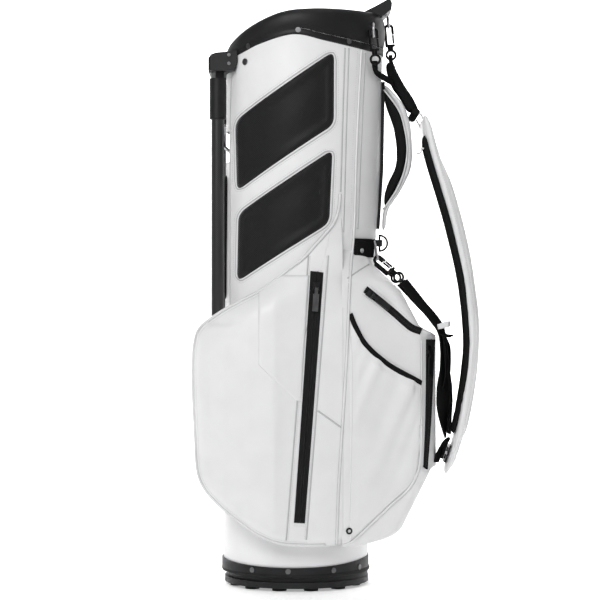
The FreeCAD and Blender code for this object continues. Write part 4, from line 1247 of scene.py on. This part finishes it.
def webbing_ring(name, loop):
    """A small square keeper that binds the webbing."""
    up = [Vector((0, 0, 1))] * len(loop)
    outline = [(-0.7, -4), (0.7, -4), (0.9, -3.4), (0.9, 3.4), (0.7, 4), (-0.7, 4)]
    verts, faces = sweep(loop, outline, True, up)
    return make(name, verts, faces, PU_WHITE, BAG)


def boot_gap_shade():
    """A black rubber ring in the gap between the boot and the foot plate: painted shade, a dark piece put
    where the gap is only in shade.
    """
    ring = []
    for k in range(120):
        angle = 2 * math.pi * k / 120
        base = on_body(angle, 30, -0.6)
        ring.append(Vector((base.x, base.y, 25.4)))
    tube("boot_gap_shade", ring, 4.1, RUBBER, BAG, True, 8)


def hip_pad():
    """The cushion between the legs: a soft raised border round a quilted middle."""
    left, low = HIP_LOW.y, HIP_LOW.z
    right, high = HIP_HIGH.y, HIP_HIGH.z
    corners = [(left, low), (right, low), (right, high), (left, high)]
    loop = even(rounded([Vector(p) for p in corners], 12.0, 6), 3.0, True)
    middle = sum(loop, Vector((0, 0))) / len(loop)
    rows = []
    for share in HIP_RINGS:
        row = []
        for p in loop:
            q = middle + (p - middle) * share
            distance = edge_distance(q, loop + loop[:1])
            rim = 12.0 * math.sin(min(1.0, distance / 9.0) * math.pi / 2) - 2.0 * ease(distance, 8.0, 13.0)
            proud = rim + 1.2 * math.cos((q.y - middle.y) / 11.0) * ease(distance, 10.0, 18.0)
            skin = on_body(math.pi, q.y, 0.0).x + q.x * q.x / 210.0
            row.append(Vector((skin - proud if rows else skin + 4.0, q.x, q.y)))
        rows.append(row)
    verts, faces = grid(rows, close_cols=True)
    faces.append(tuple(range(len(verts) - len(loop), len(verts))))
    piece = make("hip_cushion", verts, faces, MESH, BAG)
    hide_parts("hip_pad")


# Section of a stud: share of its radius, height.
STUD_PROFILE = [(1.0, -0.5), (1.0, 0.9), (0.86, 1.4), (0.55, 1.3), (0.42, 0.7), (0.2, 0.9), (0.03, 1.0)]
STUD_SIDES = 20


def stud(name, ground, x, z, radius, material, lift=0.0):
    """A small domed fastener on the surface."""
    place, normal = ground.hit(x, z)
    side = normal.cross(Vector((0, 0, 1))).normalized()
    up = side.cross(normal).normalized()
    rows = []
    place = place + normal * lift
    for reach, height in STUD_PROFILE:
        row = []
        for u, v in circle(radius * reach, STUD_SIDES):
            row.append(place + side * u + up * v + normal * height)
        rows.append(row)
    verts, faces = grid(rows, close_cols=True)
    faces.append(tuple(range(len(verts) - STUD_SIDES, len(verts))))
    return make(name, verts, faces, material, BAG)


def strap_fittings(ground):
    """Studs and stitching on the strap tabs, and the loose end above each pad."""
    pieces = [(stud("near_anchor_stud", ground, 99, 513, 3.8, STEEL, 3.2), "dark_metal")]
    corner = [(92, 507), (92, 527), (106, 526)]
    row = sewn("near_anchor_stitch", ground, corner, material=THREAD_BLACK, lift=3.6)
    pieces.append((row, WHITE))
    loose = [(191, 722), (196, 712), (201, 694), (201, 680), (197, 669), (192, 670)]
    end = turned_band("near_pad_tail", loose, -STRAP_Y - 12, 12, 2.0, [0, 0, 0])
    end.data.materials[0] = PU_PIPING
    pieces.append((end, "webbing"))
    for piece, slot in pieces:
        mirrored(piece, piece.name.replace("near", "far"), BAG)


# ---- zips, bindings and seams ------------------------------------------------------------
def ribbed(width, height):
    """Section of a closed zip: tape edges, fine ribs and two raised rows of coil."""
    half = width / 2
    top = [(-1.0, 0.35), (-0.94, 0.8), (-0.84, 0.8), (-0.80, 0.6), (-0.76, 0.8), (-0.66, 0.8),
           (-0.62, 0.6), (-0.58, 0.8), (-0.46, 0.8), (-0.42, 0.55), (-0.36, 0.95), (-0.12, 1.0),
           (-0.06, 0.35)]
    top += [(-u, v) for u, v in top[::-1]]
    return [(u * half, v * height) for u, v in top] + [(half, -0.6), (-half, -0.6)]


def zip_band(name, ground, points, width, height=1.35, end=1.0):
    """A closed zip on the surface; end is its width at the last point as a share of the first."""
    path, ups = ground.line(points, 0.45, 4.0)
    scale = [1 + (end - 1) * k / (len(path) - 1) for k in range(len(path))]
    verts, faces = sweep(path, ribbed(width, height), False, ups, scale)
    piece = make(name, verts, faces, TAPE, BAG)
    for poly in piece.data.polygons:
        poly.use_smooth = False
    return piece


COIL_QUADS = [(0, 1, 5, 4), (1, 2, 6, 5), (2, 3, 7, 6), (3, 0, 4, 7), (4, 5, 6, 7), (3, 2, 1, 0)]


def coil(name, ground, points, height, half=1.9, pitch=1.7):
    """Two rows of small nylon teeth along the middle of a zip."""
    path, ups = ground.line(points, height, pitch)
    verts = []
    faces = []
    for k in range(len(path) - 1):
        along = (path[k + 1] - path[k]).normalized()
        across = along.cross(ups[k]).normalized()
        for side in (-1, 1):
            base = len(verts)
            middle = path[k] + along * (0.4 * side)
            for inner, outer, half_length, height in ((0.15, half, 0.5, 0), (0.35, half - 0.3, 0.3, 0.5)):
                for u, v in ((inner, -1), (outer, -1), (outer, 1), (inner, 1)):
                    sideways = across * (side * u) + along * (v * half_length * pitch * 0.62)
                    verts.append(middle + sideways + ups[k] * height)
            for quad in COIL_QUADS:
                faces.append(tuple(base + q for q in quad))
    return make(name, verts, faces, COIL, BAG, flat=True)


def side_trim(ground):
    """Piping, zip, overlay panel and stitching of the near side pocket, with far twins."""
    near = []
    near.append((piping("near_side_piping", ground, inner_edge(SIDE_EDGE[:-1], 3.2), 2.2), WHITE))
    near.append((zip_band("near_side_zip", ground, ZIP_LINE, 19.5, end=0.84), "zip_tape"))
    near.append((coil("near_side_coil", ground, ZIP_LINE, 1.6), "zip_tape"))
    long_line = [(37, 504), (21, 298), (4, 84)]
    near.append((seam("near_zip_seam_left", ground, shift(long_line, -16.6), 1.5), WHITE))
    near.append((seam("near_zip_seam_right", ground, shift(long_line, 13), 1.5), WHITE))
    near.append((sewn("near_zip_stitch_left", ground, shift(long_line, -13.8)), WHITE))
    near.append((sewn("near_zip_stitch_right", ground, shift(long_line, 10.4)), WHITE))
    near.append((sewn("near_zip_end_top", ground, [(26, 480.5), (33, 481), (41, 481.5)]), WHITE))
    near.append((sewn("near_zip_end_low", ground, [(-2, 105), (6.5, 104.5), (15, 104)]), WHITE))
    near.append((overlay(ground), WHITE))
    # The fold along the overlay's slanting edge is a seam ridge in grey: painted shade of that edge.
    near.append((seam("near_overlay_fold", ground, [(34, 274), (52, 261), (71, 247)], 1.6), WHITE))
    near.append((sewn("near_piping_stitch", ground, inner_edge(SIDE_EDGE[5:-2], 8.0)), WHITE))
    for piece, slot in near:
        twin = mirrored(piece, piece.name.replace("near", "far"), BAG)
        if piece.name == "near_side_zip":
            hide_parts("side_zip_tapes")
            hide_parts("side_zip_tapes")


def shift(points, dx):
    """The same line moved along X."""
    return [(x + dx, z) for x, z in points]


def inner_edge(points, gap):
    """The same line moved towards the pocket's middle."""
    middle = Vector((-10, 290))
    out = []
    for x, z in points:
        p = Vector((x, z))
        out.append(tuple(p + (middle - p).normalized() * gap))
    return out


def overlay(ground):
    """A second layer of leather between the pocket's top edge and its zip, with a slanting lower edge."""
    rows = []
    columns = 20
    for k in range(48):
        z = 288 + (474 - 288) * k / 47
        left = -53.5 if z > 342 else -53 + (342 - z) * 59 / 55.0
        right = 20.5 + (z - 298) * 0.067 - 11.2
        row = []
        for c in range(columns + 1):
            x = left + (right - left) * c / columns
            limit = at(TOP_LINE, x) - 4.5
            rounding = max(0.0, 1 - min(x - left, right - x) / 2.5) * 0.5
            place, normal = ground.hit(x, min(z, limit))
            row.append(place + normal * (1.4 - rounding))
        rows.append(row)
    verts, faces = grid(rows)
    piece = make("near_overlay_panel", verts, faces, PU_WHITE, BAG)
    shell = piece.modifiers.new("thick", "SOLIDIFY")
    shell.thickness = 1.4 * MM
    shell.offset = -1
    bake(piece)
    return piece


TOP_LINE = [(-155, 345), (-153, 374), (-144, 398), (-112, 422), (-80, 440), (-48, 457), (-8, 487),
            (14, 504), (32, 524)]
SLIP_EDGE = [(79, 424), (83.5, 415), (88, 402), (98.6, 380.4), (115, 361.4), (139, 342), (163, 328),
             (190, 314)]
SLIP_LEFT = 82.0
SLIP_RIGHT = 190.0
LOW_EDGE = [(72, 74), (87, 80), (112, 102), (142, 129), (170, 153), (184, 176), (189, 203), (190, 250)]
CASE_ZIP = [(105, 454), (127, 436.5), (149, 418.5), (163.7, 405.5), (176, 396), (190, 391)]


def slip_pocket(ground):
    """The gathered outer layer on the ball pocket's flank, and the path of its bound top edge."""
    rows = []
    rim = []
    columns = 72
    count = 60
    for r in range(count + 1):
        t = r / count
        row = []
        for c in range(columns + 1):
            x = SLIP_LEFT + (SLIP_RIGHT - SLIP_LEFT) * c / columns
            top = at(SLIP_EDGE, x) - 1.0
            low = at(LOW_EDGE[:-1], x) + 3.0 if x < 184 else 190.0 + (x - 184) * 6
            z = top + (low - top) * t
            drop = top - z
            slant = x - 0.42 * (z - 340)
            fold = math.sin(slant / 4.6 + 0.9 * math.sin(slant / 17.0)) * 0.5 + math.sin(slant / 9.5 + 1.1)
            gather = 2.6 * math.exp(-drop / 120.0) * min(1.0, 0.12 + drop / 18.0)
            edge = min(1.0, (x - SLIP_LEFT) / 12.0, (SLIP_RIGHT - x) / 14.0)
            gape = 3.4 * math.exp(-drop / 30.0) * max(0.0, edge)
            lift = 1.0 + gape + (fold + 1.2) * gather * max(0.0, edge)
            lift *= min(1.0, 0.3 + (z - low) / 14.0)
            place, normal = ground.hit(x, z)
            row.append(place + normal * max(0.5, lift))
            if r == 0:
                rim.append((place + normal * (max(0.5, lift) - 0.5), normal))
        rows.append(row)
    verts, faces = grid(rows)
    piece = make("near_slip_panel", verts, faces, PU_WHITE, BAG)
    shell = piece.modifiers.new("thick", "SOLIDIFY")
    shell.thickness = 1.2 * MM
    shell.offset = -1
    bake(piece)
    return piece, rim


def ball_trim(ground):
    """Slip pocket, bindings, zips and piping of the ball pocket."""
    slip, rim = slip_pocket(ground)
    twins = [(slip, "pocket_fabric")]
    top = Ground(slip, BALL)
    verts, faces = sweep([p for p, _ in rim], flat_oval(8.0, 2.8), False, [n for _, n in rim])
    bind = make("near_slip_binding", verts, faces, WEB, BAG)
    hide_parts("slip_bindings")
    twins.append((bind, "webbing"))
    corner = [(205.5, 378), (204, 314), (201, 240), (197, 183)]
    band = zip_band("near_ball_zip", ground, corner, 25.0, 1.2, 0.45)
    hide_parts("ball_zip_tapes")
    twins.append((band, "zip_tape"))
    twins.append((coil("near_ball_coil", ground, corner, 1.35, 1.5), "zip_tape"))
    twins.append((piping("near_ball_piping", top, LOW_EDGE, 2.0), WHITE))
    twins.append((piping("near_corner_piping", top, [(190, 205), (191, 290), (190, 378)], 1.4), WHITE))
    twins.append((seam("near_ball_yoke_seam", ground, [(78, 470), (96, 482), (112, 492)], 1.5), WHITE))
    twins.append((sewn("near_ball_stitch", top, [(84, 384), (86, 300), (84, 200), (82, 110)]), WHITE))
    for piece, slot in twins:
        twin = mirrored(piece, piece.name.replace("near", "far"), BAG)
        if "binding" in piece.name:
            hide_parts("slip_bindings")
        if piece.name == "near_ball_zip":
            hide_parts("ball_zip_tapes")
    case = zip_band("valuables_zip", ground, CASE_ZIP, 11.0)
    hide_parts("valuables_zip_tape")
    coil("valuables_coil", ground, CASE_ZIP, 1.35, 1.5)
    sewn("valuables_stitch_low", ground, [(x - 5, z - 7) for x, z in CASE_ZIP[:-1]])
    sewn("valuables_stitch_top", ground, [(x + 5, z + 7) for x, z in CASE_ZIP[:-2]])


def body_seams(ground):
    """Seams and stitch rows that run down the body and between the pockets."""
    # The welt's side lines and the seam ridges are grey: painted shade along the seams.
    near = [piping("near_main_welt", ground, SEAM_LINE, 1.9)]
    near.append(seam("near_panel_seam_a", ground, [(75, 816), (72, 720), (70, 648), (68.5, 600)], 1.6))
    second = [(81, 816), (78, 720), (76, 648), (74.5, 590), (73, 540)]
    near.append(seam("near_panel_seam_b", ground, second, 1.4))
    near.append(seam("near_panel_seam_c", ground, [(106.5, 812), (103, 740), (99, 649), (95, 545)], 1.5))
    near.append(sewn("near_panel_stitch", ground, [(94.5, 814), (90.5, 740), (86.5, 649), (84, 545)]))
    near.append(seam("near_leg_side_seam", ground, [(-97, 775), (-99, 700), (-99, 560), (-99, 432)], 1.4))
    for piece in near:
        mirrored(piece, piece.name.replace("near", "far"), BAG)


camera()
stage()
finish_cad()
BODY_SKIN = body_skin()
cuff()
NEAR_SIDE = side_pocket()
FAR_SIDE = mirrored(NEAR_SIDE, "far_side_pouch", BAG)
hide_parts("far_side_pocket")
BALL = ball_pouch()
SURFACES = Ground(BODY_SKIN, NEAR_SIDE, BALL)
mesh_pads(Ground(BODY_SKIN))
side_trim(SURFACES)
ball_trim(SURFACES)
body_seams(SURFACES)
shoulder_straps()
carry_handle()
yoke()
lower_webbing()
boot_gap_shade()
hip_pad()
strap_fittings(Ground(BODY_SKIN))
